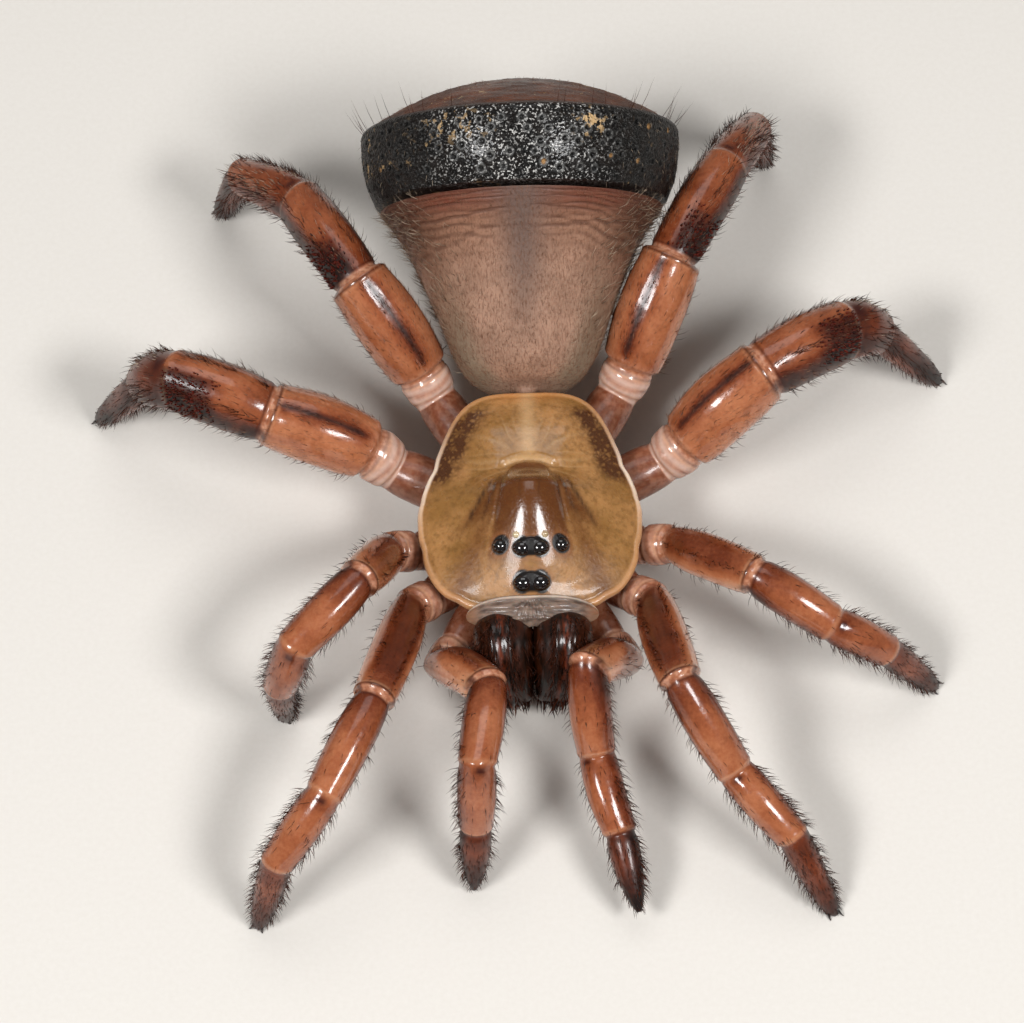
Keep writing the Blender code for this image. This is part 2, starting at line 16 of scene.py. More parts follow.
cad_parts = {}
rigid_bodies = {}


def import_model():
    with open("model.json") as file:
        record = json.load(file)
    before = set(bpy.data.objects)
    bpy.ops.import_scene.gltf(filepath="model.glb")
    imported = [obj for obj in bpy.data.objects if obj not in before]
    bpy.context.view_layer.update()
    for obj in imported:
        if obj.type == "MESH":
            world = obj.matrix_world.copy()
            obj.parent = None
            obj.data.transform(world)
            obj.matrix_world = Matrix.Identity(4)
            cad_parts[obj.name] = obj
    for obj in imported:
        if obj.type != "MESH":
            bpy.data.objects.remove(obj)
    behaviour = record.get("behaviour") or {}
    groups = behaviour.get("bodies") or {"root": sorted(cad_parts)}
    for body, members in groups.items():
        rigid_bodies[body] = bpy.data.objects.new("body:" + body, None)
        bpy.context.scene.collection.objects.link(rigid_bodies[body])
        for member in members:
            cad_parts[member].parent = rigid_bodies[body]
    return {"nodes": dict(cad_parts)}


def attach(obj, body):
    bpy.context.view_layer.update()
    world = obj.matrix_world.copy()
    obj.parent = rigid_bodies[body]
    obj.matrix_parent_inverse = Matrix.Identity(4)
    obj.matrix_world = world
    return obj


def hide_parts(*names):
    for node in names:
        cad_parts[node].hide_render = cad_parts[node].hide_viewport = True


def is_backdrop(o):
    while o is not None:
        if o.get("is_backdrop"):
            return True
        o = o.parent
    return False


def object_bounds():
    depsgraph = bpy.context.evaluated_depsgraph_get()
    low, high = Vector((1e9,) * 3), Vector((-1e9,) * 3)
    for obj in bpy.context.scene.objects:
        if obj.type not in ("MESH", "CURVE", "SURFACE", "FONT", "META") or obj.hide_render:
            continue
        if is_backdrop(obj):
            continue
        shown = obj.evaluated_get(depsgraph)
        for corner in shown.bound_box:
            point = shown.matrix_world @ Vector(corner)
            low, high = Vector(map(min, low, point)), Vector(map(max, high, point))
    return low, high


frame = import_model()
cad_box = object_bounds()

MM = 0.001
LEFT, RIGHT = 1, -1
SIDES = {"left": LEFT, "right": RIGHT}
STANCE = np.array([0.29, -0.95, 0.0])
print("nodes in the frame:", len(frame["nodes"]))

# %% [markdown]
# ## Camera
# A macro lens looks steeply down on the spider's face. A long lens far away keeps the legs from spreading
# towards the frame as a short one would. The camera could be aimed with a Track To constraint, but three
# axes written out also hold the slight roll of the picture.

# %% Place the camera
CAMERA_TARGET = Vector((-0.26, -0.40, 2.5))
CAMERA_DISTANCE = 200.0
CAMERA_ELEVATION = math.radians(64.0)
CAMERA_ROLL = math.radians(-1.5)
CAMERA_LENS = 225.0
CAMERA_SENSOR = 36.0
CLIP_START = 0.001


def make_camera():
    back = Vector((0.0, -math.cos(CAMERA_ELEVATION), math.sin(CAMERA_ELEVATION)))
    level = Vector((1.0, 0.0, 0.0))
    upright = back.cross(level)
    right = level * math.cos(CAMERA_ROLL) + upright * math.sin(CAMERA_ROLL)
    up = upright * math.cos(CAMERA_ROLL) - level * math.sin(CAMERA_ROLL)
    data = bpy.data.cameras.new("camera")
    data.lens = CAMERA_LENS
    data.sensor_width = CAMERA_SENSOR
    data.clip_start = CLIP_START
    camera = bpy.data.objects.new("camera", data)
    turn = Matrix((right, up, back)).transposed()
    camera.matrix_world = Matrix.LocRotScale((CAMERA_TARGET + back * CAMERA_DISTANCE) * MM, turn, None)
    bpy.context.scene.collection.objects.link(camera)
    bpy.context.scene.camera = camera
    return camera


camera = make_camera()
print("camera at", [round(value * 1000, 1) for value in camera.location], "mm")

# %% [markdown]
# ## Studio
# The real animal was lit by two flash heads, one at each side of the lens, which leave a pair of long
# highlights on every glossy limb. Two soft boxes repeat them, and a broad one above fills the shadows.
# A pale plain floor carries the shadow.

# %% Light the floor
LAMPS = (
    ("left_box", (-95.0, -75.0, 150.0), (64.0, 40.0), 0.23),
    ("right_box", (95.0, -75.0, 150.0), (64.0, 40.0), 0.23),
    ("top_box", (0.0, 110.0, 210.0), (160.0, 120.0), 0.10),
)
LAMP_AIM = Vector((0.0, 0.0, 3.0))
WORLD_LIGHT = 0.16
WORLD_TINT = (1.0, 0.98, 0.95, 1.0)
FLOOR_HALF = 260.0


def make_lamp(name, place, size, power):
    data = bpy.data.lights.new(name, "AREA")
    data.shape = "RECTANGLE"
    data.size = size[0] * MM
    data.size_y = size[1] * MM
    data.energy = power
    lamp = bpy.data.objects.new(name, data)
    aim = LAMP_AIM - Vector(place)
    lamp.matrix_world = Matrix.LocRotScale(Vector(place) * MM, aim.to_track_quat("-Z", "Y"), None)
    bpy.context.scene.collection.objects.link(lamp)


def make_world():
    world = bpy.data.worlds.new("soft_light")
    world.use_nodes = True
    sky = world.node_tree.nodes["Background"]
    sky.inputs["Color"].default_value = WORLD_TINT
    sky.inputs["Strength"].default_value = WORLD_LIGHT
    bpy.context.scene.world = world


for lamp in LAMPS:
    make_lamp(*lamp)
make_world()
bpy.context.scene.view_settings.view_transform = "Standard"
print("lamps:", len(LAMPS))

# %% [markdown]
# ## Shader maths in Python
# A procedural finish is mostly arithmetic on noise and masks. Adding every Math node by hand hides the
# formula, so `Value` wraps a socket and lets plain operators add the nodes. `Finish` holds one material.
# Its `node` adds any other node, and `paint` lays one colour over another where a mask or a noise says.

# %% Wrap sockets and materials
NOISE_ROUGHNESS = 0.55


def srgb(red, green, blue):
    """A colour written in screen values from 0 to 255, as the linear light that shaders want."""
    shares = np.array([red, green, blue]) / 255
    return tuple(np.where(shares <= 0.04045, shares / 12.92, ((shares + 0.055) / 1.055) ** 2.4).tolist())


class Value:
    """A node's output that can be used in an expression."""

    def __init__(self, finish, socket):
        self.finish, self.socket = finish, socket

    def math(self, operation, first, second, **settings):
        settings["operation"] = operation
        return self.finish.node("ShaderNodeMath", settings, {0: first, 1: second})

    def __add__(self, other):
        return self.math("ADD", self, other)

    def __mul__(self, other):
        return self.math("MULTIPLY", self, other)

    def __sub__(self, other):
        return self.math("SUBTRACT", self, other)

    def __rsub__(self, other):
        return self.math("SUBTRACT", other, self)

    __radd__, __rmul__ = __add__, __mul__

    def clamp(self):
        return self.math("ADD", self, 0.0, use_clamp=True)

    def step(self, low, high):
        """0 below low and 1 above high, with a soft edge."""
        sockets = {"Value": self, "From Min": low, "From Max": high}
        return self.finish.node("ShaderNodeMapRange", {"interpolation_type": "SMOOTHSTEP"}, sockets)


class Finish:
    """One procedural material. Its places are in millimetres and its colours in screen values."""

    def __init__(self, name, **constants):
        self.material = bpy.data.materials.new(name)
        self.material.use_nodes = True
        self.tree = self.material.node_tree
        self.shader = self.tree.nodes["Principled BSDF"]
        for socket, value in constants.items():
            self.shader.inputs[socket.replace("_", " ")].default_value = value
        local = self.node("ShaderNodeTexCoord", output="Object")
        self.place = self.node("ShaderNodeVectorMath", {"operation": "SCALE"}, {0: local, "Scale": 1 / MM})

    def node(self, kind, settings=None, sockets=None, output=0):
        """Adds a node: its settings first, then the values or links of its sockets."""
        made = self.tree.nodes.new(kind)
        for name, value in (settings or {}).items():
            setattr(made, name, value)
        for name, value in (sockets or {}).items():
            self.feed(made.inputs[name], value)
        return Value(self, made.outputs[output])

    def feed(self, socket, value):
        if isinstance(value, Value):
            self.tree.links.new(value.socket, socket)
        else:
            socket.default_value = (*srgb(*value), 1.0) if socket.type == "RGBA" else value

    def set(self, **sockets):
        for name, value in sockets.items():
            self.feed(self.shader.inputs[name.replace("_", " ")], value)
        return self.material

    def mask(self, name):
        """A number that the mesh carries at each vertex."""
        return self.node("ShaderNodeAttribute", {"attribute_name": name}, output="Fac")

    def noise(self, scale, detail=3.0, stretch=None):
        """Cloudy noise. A stretch scales each axis, so that the clouds run longer one way."""
        place = self.place
        if stretch:
            place = self.node("ShaderNodeVectorMath", {"operation": "MULTIPLY"}, {0: place, 1: stretch})
        sockets = {"Vector": place, "Scale": scale, "Detail": detail, "Roughness": NOISE_ROUGHNESS}
        return self.node("ShaderNodeTexNoise", None, sockets)

    def cells(self, scale, feature="F1"):
        sockets = {"Vector": self.place, "Scale": scale}
        return self.node("ShaderNodeTexVoronoi", {"feature": feature}, sockets)

    def ramp(self, depth, stops):
        """Colours strung along a number from 0 to 1."""
        made = self.node("ShaderNodeValToRGB", None, {"Fac": depth})
        elements = made.socket.node.color_ramp.elements
        elements.remove(elements[1])
        for i, (position, colour) in enumerate(stops):
            stop = elements.new(position) if i else elements[0]
            stop.position = position
            stop.color = (*srgb(*colour), 1.0)
        return made

    def mix(self, factor, low, high):
        settings = {"data_type": "RGBA", "clamp_factor": True}
        return self.node("ShaderNodeMix", settings, {0: factor, 6: low, 7: high}, output=2)

    def paint(self, colour, *coats):
        """Lays coats over a colour. Each has a value or the name of a mask, a strength and a colour."""
        for where, strength, over in coats:
            factor = self.mask(where) if isinstance(where, str) else where
            colour = self.mix(factor if strength == 1 else factor * strength, colour, over)
        return colour

    def bump(self, height, distance, strength=1.0, under=None):
        sockets = {"Height": height, "Distance": distance * MM, "Strength": strength}
        return self.node("ShaderNodeBump", None, {**sockets, "Normal": under} if under else sockets)


print("shader helpers ready")

# %% Lay the floor


def make_floor():
    mesh = bpy.data.meshes.new("floor")
    half = FLOOR_HALF * MM
    corners = [(-half, -half, 0), (half, -half, 0), (half, half, 0), (-half, half, 0)]
    mesh.from_pydata(corners, [], [(0, 1, 2, 3)])
    floor = bpy.data.objects.new("floor", mesh)
    bpy.context.scene.collection.objects.link(floor)
    finish = Finish("pale_floor", Roughness=0.75)
    grain = finish.noise(6.0)
    mesh.materials.append(finish.set(Base_Color=finish.mix(grain, (214, 209, 202), (222, 218, 212))))
    floor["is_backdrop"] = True


make_floor()
print("floor laid")

# %% [markdown]
# ## Meshes from arrays
# Skin, pits and tens of thousands of hairs would be slow as single Blender operators. NumPy works out all
# points at once, and one helper hands them to Blender.

# %% Turn arrays into pieces
TINY = 1e-9


def angles(count):
    return np.arange(count) * math.tau / count


def smooth(low, high, value):
    """0 at low and 1 at high, or the other way round where low is the greater."""
    share = np.clip((np.asarray(value, float) - low) / (high - low), 0, 1)
    return share * share * (3 - 2 * share)


def unit(vectors):
    return vectors / np.maximum(np.linalg.norm(vectors, axis=-1, keepdims=True), TINY)


def hump(value, middle, width):
    return np.exp(-(((value - middle) / width) ** 2))


def curve(keys, at):
    """A smooth line through (place, value) pairs. It doesn't overshoot them."""
    x, y = np.array(keys, float).T
    slope = np.diff(y) / np.diff(x)
    tangent = np.concatenate([slope[:1], (slope[:-1] + slope[1:]) / 2, slope[-1:]])
    tangent[1:-1][slope[:-1] * slope[1:] <= 0] = 0
    at = np.clip(at, x[0], x[-1])
    i = np.clip(np.searchsorted(x, at, side="right") - 1, 0, len(slope) - 1)
    width = x[i + 1] - x[i]
    t = (at - x[i]) / width
    first = (2 * t**3 - 3 * t**2 + 1) * y[i] + (t**3 - 2 * t**2 + t) * width * tangent[i]
    return first + (3 * t**2 - 2 * t**3) * y[i + 1] + (t**3 - t**2) * width * tangent[i + 1]


def outward(points, faces):
    """The same faces, turned over where they enclose a negative volume."""
    volume = 0
    for group in faces:
        for k in range(1, group.shape[1] - 1):
            a, b, c = (points[group[:, corner]] for corner in (0, k, k + 1))
            volume = volume + np.sum(a * np.cross(b, c))
    return faces if volume > 0 else [group[:, ::-1] for group in faces]


def piece(name, points, faces, material, masks=None, replaced=(), patches=None):
    """Makes a piece from points in millimetres and lists of faces, and rides it on the spider."""
    faces = outward(points, faces)
    mesh = bpy.data.meshes.new(name)
    sizes = np.concatenate([np.full(len(group), group.shape[1]) for group in faces])
    corners = np.concatenate([group.ravel() for group in faces])
    mesh.vertices.add(len(points))
    mesh.vertices.foreach_set("co", ((points + STANCE) * MM).astype(np.float32).ravel())
    mesh.loops.add(len(corners))
    mesh.loops.foreach_set("vertex_index", corners.astype(np.int32))
    mesh.polygons.add(len(sizes))
    mesh.polygons.foreach_set("loop_start", (np.cumsum(sizes) - sizes).astype(np.int32))
    for key, values in (masks or {}).items():
        layer = mesh.attributes.new(key, "FLOAT", "POINT")
        layer.data.foreach_set("value", np.broadcast_to(values, len(points)).astype(np.float32))
    if patches is not None:
        layer = mesh.uv_layers.new(name="OFBake")
        layer.data.foreach_set("uv", patches[corners].astype(np.float32).ravel())
    mesh.update(calc_edges=True)
    mesh.validate()
    mesh.shade_smooth()
    mesh.materials.append(material)
    made = bpy.data.objects.new(name, mesh)
    bpy.context.scene.collection.objects.link(made)
    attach(made, "root")
    if replaced:
        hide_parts(*replaced)
    return made


def skin_faces(rows, around):
    """Faces of a closed loft of rows with a middle point at each end, which come after the rows."""
    i = np.arange(rows - 1)[:, None] * around
    j = np.arange(around)[None, :]
    k = (j + 1) % around
    sides = np.stack([i + j, i + k, i + around + k, i + around + j], axis=-1).reshape(-1, 4)
    j, k = j[0], k[0]
    first = np.stack([k, j, np.full(around, rows * around)], axis=-1)
    last = (rows - 1) * around
    end = np.stack([last + j, last + k, np.full(around, rows * around + 1)], axis=-1)
    return [sides, first, end]


def skin_points(grid):
    """Rows of points and the two end points that close them."""
    rows = grid.reshape(-1, 3)
    return np.concatenate([rows, grid[:1].mean(axis=1), grid[-1:].mean(axis=1)])


def closed(values):
    """A mask over a grid, with its values at the two end points."""
    return np.concatenate([values.ravel(), [values[0].mean(), values[-1].mean()]])


def points_at(x, y, z):
    """Points from their three coordinates, any of which may be the same along a row or a column."""
    return np.stack(np.broadcast_arrays(x, y, z), axis=-1)


def loft(name, grid, material, masks=None, replaced=()):
    """A piece whose skin runs over a grid of rows. Its masks are given over the same grid."""
    shape = grid.shape[:2]
    masks = {key: closed(np.broadcast_to(values, shape)) for key, values in (masks or {}).items()}
    return piece(name, skin_points(grid), skin_faces(*shape), material, masks, replaced)


def facing(grid):
    """Unit normals of a closed grid of rows, away from its rows' middles, and its two directions."""
    along = np.gradient(grid, axis=0)
    around = np.roll(grid, -1, axis=1) - np.roll(grid, 1, axis=1)
    normal = unit(np.cross(around, along))
    away = grid - grid.mean(axis=1, keepdims=True)
    return normal * np.sign(np.sum(normal * away)), unit(along), unit(around)


print("mesh helpers ready")

# %% [markdown]
# ## How the limbs stand
# A spider's leg is a row of tubes. The coxa and trochanter lie under the shield, then come femur, patella,
# tibia and foot. The palps in front are built alike but shorter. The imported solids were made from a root,
# four lengths and four directions for each limb, and the same numbers place the skins here.

# %% Sizes and directions of the limbs
CARAPACE_MIDDLE_Y = 0.35
COXA_INNER_SHARE = 0.36
COXA_Z = 1.85
KNEE_RISE = 0.35
TROCHANTER_LENGTH = 0.85
LIMBS = {
    "palp": ((2.85, -4.50, 2.25), (3.10, 2.75, 2.55, 2.45), (1.38, 1.32, 1.20, 0.98), 0.58),
    "leg1": ((3.75, -2.75, 2.70), (4.80, 3.35, 2.70, 3.10), (1.46, 1.32, 1.22, 0.98), 0.66),
    "leg2": ((4.40, -0.80, 2.70), (3.70, 2.80, 2.20, 2.85), (1.42, 1.35, 1.22, 0.95), 0.66),
    "leg3": ((4.95, 2.65, 2.80), (3.45, 3.10, 1.65, 3.65), (2.25, 2.05, 1.55, 1.05), 0.78),
    "leg4": ((3.30, 5.40, 2.80), (3.80, 3.65, 2.80, 3.75), (2.15, 1.70, 1.35, 1.00), 0.74),
}
POSE = {
    ("palp", "right"): ((-128, 42), (-82, 8), (-85, -65), (-84, -62)),
    ("palp", "left"): ((-129, 52), (-84, -45), (-74, -20), (-77, -22)),
    ("leg1", "right"): ((-74, 27), (-62, -7), (-45, -38), (-52, None)),
    ("leg1", "left"): ((-80, 33), (-53, -37), (-46, -23), (-52, None)),
    ("leg2", "right"): ((-68, 48), (-44, -12), (-33, -73), (113, None)),
    ("leg2", "left"): ((-39, 29), (-29, -19), (-12, -36), (-8, None)),
    ("leg3", "right"): ((15, 19), (20, 8), (25, -47), (13, None)),
    ("leg3", "left"): ((32, 32), (32, -11), (19, -41), (-6, None)),
    ("leg4", "right"): ((46, 43), (60, -9), (42, -28), (35, None)),
    ("leg4", "left"): ((62, 38), (61, -1), (64, -33), (60, None)),
}
FOOT_TIP_Z = -0.08
COXA, TROCHANTER, FEMUR, PATELLA, TIBIA, FOOT = range(6)


def limb_path(limb, word):
    """Seven points in millimetres: coxa, trochanter, femur, patella, tibia, foot and tip."""
    side = SIDES[word]
    root, lengths, _, _ = LIMBS[limb]
    here = np.array([root[0] * side, root[1], root[2]])
    flat = np.array([root[0] * side, root[1] - CARAPACE_MIDDLE_Y, 0.0])
    middle = np.array([0.0, CARAPACE_MIDDLE_Y, COXA_Z])
    knee = here - unit(flat) * TROCHANTER_LENGTH
    knee[2] = COXA_Z + (root[2] - COXA_Z) * KNEE_RISE
    points = [middle + flat * COXA_INNER_SHARE, knee, here]
    for length, (heading, rise) in zip(lengths, POSE[limb, word]):
        if rise is None:
            rise = -math.degrees(math.asin((here[2] - FOOT_TIP_Z) / length))
        across, up = math.radians(heading), math.radians(rise)
        level = math.cos(up)
        step = np.array([side * math.cos(across) * level, math.sin(across) * level, math.sin(up)])
        here = here + step * length
        points.append(here)
    return points


print("left first leg ends at", np.round(limb_path("leg1", "left")[-1], 2), "mm")

# %% [markdown]
# ## Skin of a limb
# Each limb is one closed skin from its coxa to its tip, so that no seam shows at a joint. It is lofted:
# rings are set along the path, and near a bend they turn towards the plane that halves it, as the mitre of
# a picture frame does. Between two hard tubes the soft joint skin draws in a little. The rings also carry
# masks, numbers at each point that tell the shader where skin is soft, pale or dark, and where shade and
# sheen are painted.

# %% Rings along a limb
# For each segment, its width along it as a share of its full width
SHAPES = (
    ((0.0, 0.86), (0.45, 1.0), (0.85, 0.98), (1.0, 0.90)),
    ((0.0, 0.90), (0.35, 1.0), (0.75, 0.98), (1.0, 0.92)),
    ((0.0, 0.74), (0.1, 0.86), (0.3, 0.98), (0.62, 1.0), (0.86, 0.96), (1.0, 0.90)),
    ((0.0, 0.84), (0.12, 0.93), (0.40, 1.0), (0.62, 0.99), (0.85, 0.94), (1.0, 0.88)),
    ((0.0, 0.93), (0.18, 0.99), (0.4, 1.0), (0.75, 0.95), (1.0, 0.86)),
    (
        *((0.0, 1.0), (0.15, 1.0), (0.38, 0.93), (0.56, 0.83)),
        *((0.62, 0.80), (0.80, 0.66), (0.93, 0.46), (1.0, 0.24)),
    ),
)
HIND_TROCHANTER = ((0.0, 0.92), (0.35, 1.06), (0.75, 1.12), (1.0, 1.06))
HIND_FEMUR = ((0.0, 0.85), (0.08, 0.89), (0.25, 0.96), (0.55, 1.0), (0.80, 0.96), (1.0, 0.88))
HIND_PATELLA = ((0.0, 0.92), (0.2, 0.97), (0.5, 1.0), (0.8, 0.98), (1.0, 0.90))
HIND_TIBIA = {
    "leg3": ((0.0, 1.16), (0.25, 1.17), (0.6, 1.06), (1.0, 0.86)),
    "leg4": ((0.0, 1.08), (0.25, 1.08), (0.6, 1.02), (1.0, 0.88)),
}
PALP_TARSUS = ((0.0, 0.92), (0.12, 1.0), (0.40, 0.93), (0.68, 0.70), (0.88, 0.42), (1.0, 0.16))
RING_STEP = 0.07
LEAST_RINGS = 6
LIMB_SIDES = 40
MITRE_REACH = 0.35
DORSAL_ARCH = 0.09
NECKS = (1.0, 1.0, 0.97, 0.95, 0.975, 0.985, 1.0)
LEAST_Z = 0.004
LIP = 0.022
FURROW = 0.035
FURROW_SHOULDER = 0.012
FACETS = 0.018


class Limb:
    """The rings of one limb and where each of them lies."""

    def __init__(self, limb, word):
        self.limb, self.hind = limb, limb in HIND_TIBIA
        self.name = f"{limb}_{word}"
        self.path = limb_path(limb, word)
        steps = [unit(b - a) for a, b in zip(self.path, self.path[1:])]
        mitres = [steps[0], *[unit(a + b) for a, b in zip(steps, steps[1:])], steps[-1]]
        _, _, widths, coxa = LIMBS[limb]
        halves = [coxa, coxa, *[width / 2 for width in widths]]
        shapes = [*SHAPES[:FOOT], PALP_TARSUS if limb == "palp" else SHAPES[FOOT]]
        if self.hind:
            shapes[TROCHANTER:FOOT] = HIND_TROCHANTER, HIND_FEMUR, HIND_PATELLA, HIND_TIBIA[limb]
        ends = [(shape[0][1] * half, shape[-1][1] * half) for shape, half in zip(shapes, halves)]
        joined = [ends[0][0], *[min(a[1], b[0]) for a, b in zip(ends, ends[1:])], ends[-1][1]]
        necks = [width * narrowing for width, narrowing in zip(joined, NECKS)]
        up = np.array([0.0, 0.0, 1.0])
        before = None
        rows, marks = [], []
        turn = angles(LIMB_SIDES)
        for i, ahead in enumerate(steps):
            up = unit(up - ahead * up.dot(ahead)) if before is None else swing(up, before, ahead)
            before = ahead
            side = np.cross(ahead, up)
            length = np.linalg.norm(self.path[i + 1] - self.path[i])
            count = max(LEAST_RINGS, round(length / RING_STEP))
            for t in np.linspace(0, 1, count, endpoint=i == FOOT):
                near, far = t * length, (1 - t) * length
                radius = self.radius(i, t, near, far, shapes[i], halves[i], necks)
                lean_in, lean_out = max(0, 1 - t / MITRE_REACH), max(0, 1 - (1 - t) / MITRE_REACH)
                normal = unit(ahead + (mitres[i] - ahead) * lean_in + (mitres[i + 1] - ahead) * lean_out)
                arch = DORSAL_ARCH * halves[i] * 2 * math.sin(math.pi * t) if FEMUR <= i <= TIBIA else 0
                middle = self.path[i] + ahead * near + up * arch
                offset = np.outer(np.cos(turn), side) + np.outer(np.sin(turn), up)
                offset = offset * (radius * self.section(i, t, turn))[:, None]
                rows.append(middle + offset - np.outer(offset @ normal / ahead.dot(normal), ahead))
                marks.append((i, t, near, far))
        self.ahead, self.up = before, up
        self.grid = np.array(rows)
        self.grid[:, :, 2] = np.maximum(self.grid[:, :, 2], LEAST_Z)
        segment, self.share, self.near, self.far = np.array(marks).T[:, :, None]
        self.segment = segment.astype(int)
        self.dorsal = np.sin(turn)[None, :]
        self.front = SIDES[word] * np.cos(turn)[None, :]

    def radius(self, i, t, near, far, shape, half, necks):
        """Half the width of the tube, with its lip and the neck of soft skin at each end."""
        full = half * float(curve(shape, t))
        if FEMUR <= i < FOOT:
            full *= 1 + LIP * hump(far, 0.14, 0.07)
        if i == TROCHANTER:
            full *= 1 - 0.035 * hump(near, 0.16, 0.05) - 0.03 * hump(far, 0.14, 0.05)
        hard_start = 1.0 if i == COXA else float(smooth(0.01, 0.20, near))
        hard_end = 1.0 if i == FOOT else float(smooth(0.02, 0.09, far))
        full = necks[i] + (full - necks[i]) * hard_start
        return necks[i + 1] + (full - necks[i + 1]) * hard_end

    def section(self, i, t, turn):
        """How the round section is dented: furrows along the hind femora and flat facets."""
        dorsal = turn - math.pi / 2
        wave = np.ones(len(turn))
        inside = float(smooth(0.03, 0.16, t) * smooth(0.98, 0.84, t))
        if i == FEMUR and self.hind:
            furrow = hump(np.sin(dorsal), 0.0, 0.11) * (np.cos(dorsal) > 0)
            wave = wave - FURROW * inside * furrow
            wave = wave + FURROW_SHOULDER * inside * hump(np.abs(dorsal), 0.50, 0.24)
        if FEMUR <= i <= TIBIA:
            wave = wave + FACETS * inside * np.cos(3 * turn + 1.2)
        return wave


def swing(vector, before, after):
    """Turns a vector by the least turn that takes one direction to the other."""
    axis = np.cross(before, after)
    cosine = float(before.dot(after))
    return vector * cosine + np.cross(axis, vector) + axis * (axis.dot(vector) / (1 + cosine))


limbs = {(limb, word): Limb(limb, word) for limb in LIMBS for word in SIDES}
print("rings on the left third leg:", len(limbs["leg3", "left"].grid))

# %% [markdown]
# ## Finish of the limbs
# Spider cuticle is clear and glossy over brown. Its colour runs from orange-tan on the hind femora through
# chestnut to nearly black at the feet. The shader takes one tone from the mesh and breaks it up with noise
# at two scales. Pale soft skin lies at the joints, and a pale grey with a painted sheen on the tops of the
# trochanters. A clear coat gives the sharp highlight.

# %% Make the limb finish
# From coxa to foot, 0 for the palest chitin and 1 for the darkest
TONES = {
    "palp": (0.62, 0.40, 0.44, 0.34, 0.40, 0.64),
    "leg1": (0.62, 0.36, 0.46, 0.33, 0.34, 0.55),
    "leg2": (0.62, 0.36, 0.36, 0.35, 0.42, 0.58),
    "leg3": (0.66, 0.30, 0.27, 0.40, 0.62, 0.64),
    "leg4": (0.66, 0.30, 0.28, 0.46, 0.50, 0.66),
}
CHITIN_STOPS = (
    (0.0, (204, 146, 110)),
    (0.20, (180, 114, 78)),
    (0.40, (150, 84, 52)),
    (0.60, (104, 46, 22)),
    (0.80, (58, 22, 10)),
    (1.0, (22, 10, 7)),
)


def chitin_bump(finish, depth=1.0):
    fine = finish.noise(7.0, 4.0)
    low = finish.bump(finish.noise(1.6, 2.0), 0.05 * depth, 0.35)
    return finish.bump(fine, 0.012 * depth, 0.5, low)


def limb_finish():
    finish = Finish(
        "limb_chitin",
        Specular_IOR_Level=0.35,
        Coat_Roughness=0.08,
        Subsurface_Weight=0.12,
        Subsurface_Scale=0.0005,
        Subsurface_Radius=(1.0, 0.4, 0.2),
        IOR=1.5,
    )
    tone = finish.mask("tone")
    blotch = finish.noise(1.1, 4.0) - 0.5
    grain = finish.noise(9.0, 3.0) - 0.5
    hard = finish.ramp((tone + blotch * 0.42 + grain * 0.20).clamp(), CHITIN_STOPS)
    skin = finish.mix(finish.noise(5.0, 3.0).step(0.35, 0.65), (158, 98, 70), (200, 144, 114))
    fibres = finish.noise(4.0, 3.0, (1.0, 1.0, 0.4))
    colour = finish.paint(
        finish.mix(finish.mask("soft"), hard, skin),
        ("pale", 0.38, (222, 172, 132)),
        (fibres.step(0.50, 0.75), 0.35, (96, 40, 16)),
        # Pale grey trochanter skin with a painted sheen
        ("pale_skin_and_sheen", 0.7, (214, 186, 172)),
        ("mark", 1, (52, 14, 9)),
    )
    rough = 0.21 + (finish.noise(4.0) - 0.5) * 0.20 + tone.step(0.45, 0.80) * 0.16
    coat = (0.80 - tone * 0.75).clamp()
    return finish.set(Base_Color=colour, Roughness=rough, Coat_Weight=coat, Normal=chitin_bump(finish))


def spinule_field(one):
    """Where the hind patellae carry short stout spines."""
    t, front, dorsal = one.share, one.front, one.dorsal
    if one.limb == "leg3":
        return smooth(0.40, 0.72, t) * smooth(-0.1, 0.25, front) * smooth(-0.1, 0.2, dorsal)
    return smooth(0.52, 0.15, t) * smooth(-0.1, 0.3, front) * smooth(-0.2, 0.2, dorsal)


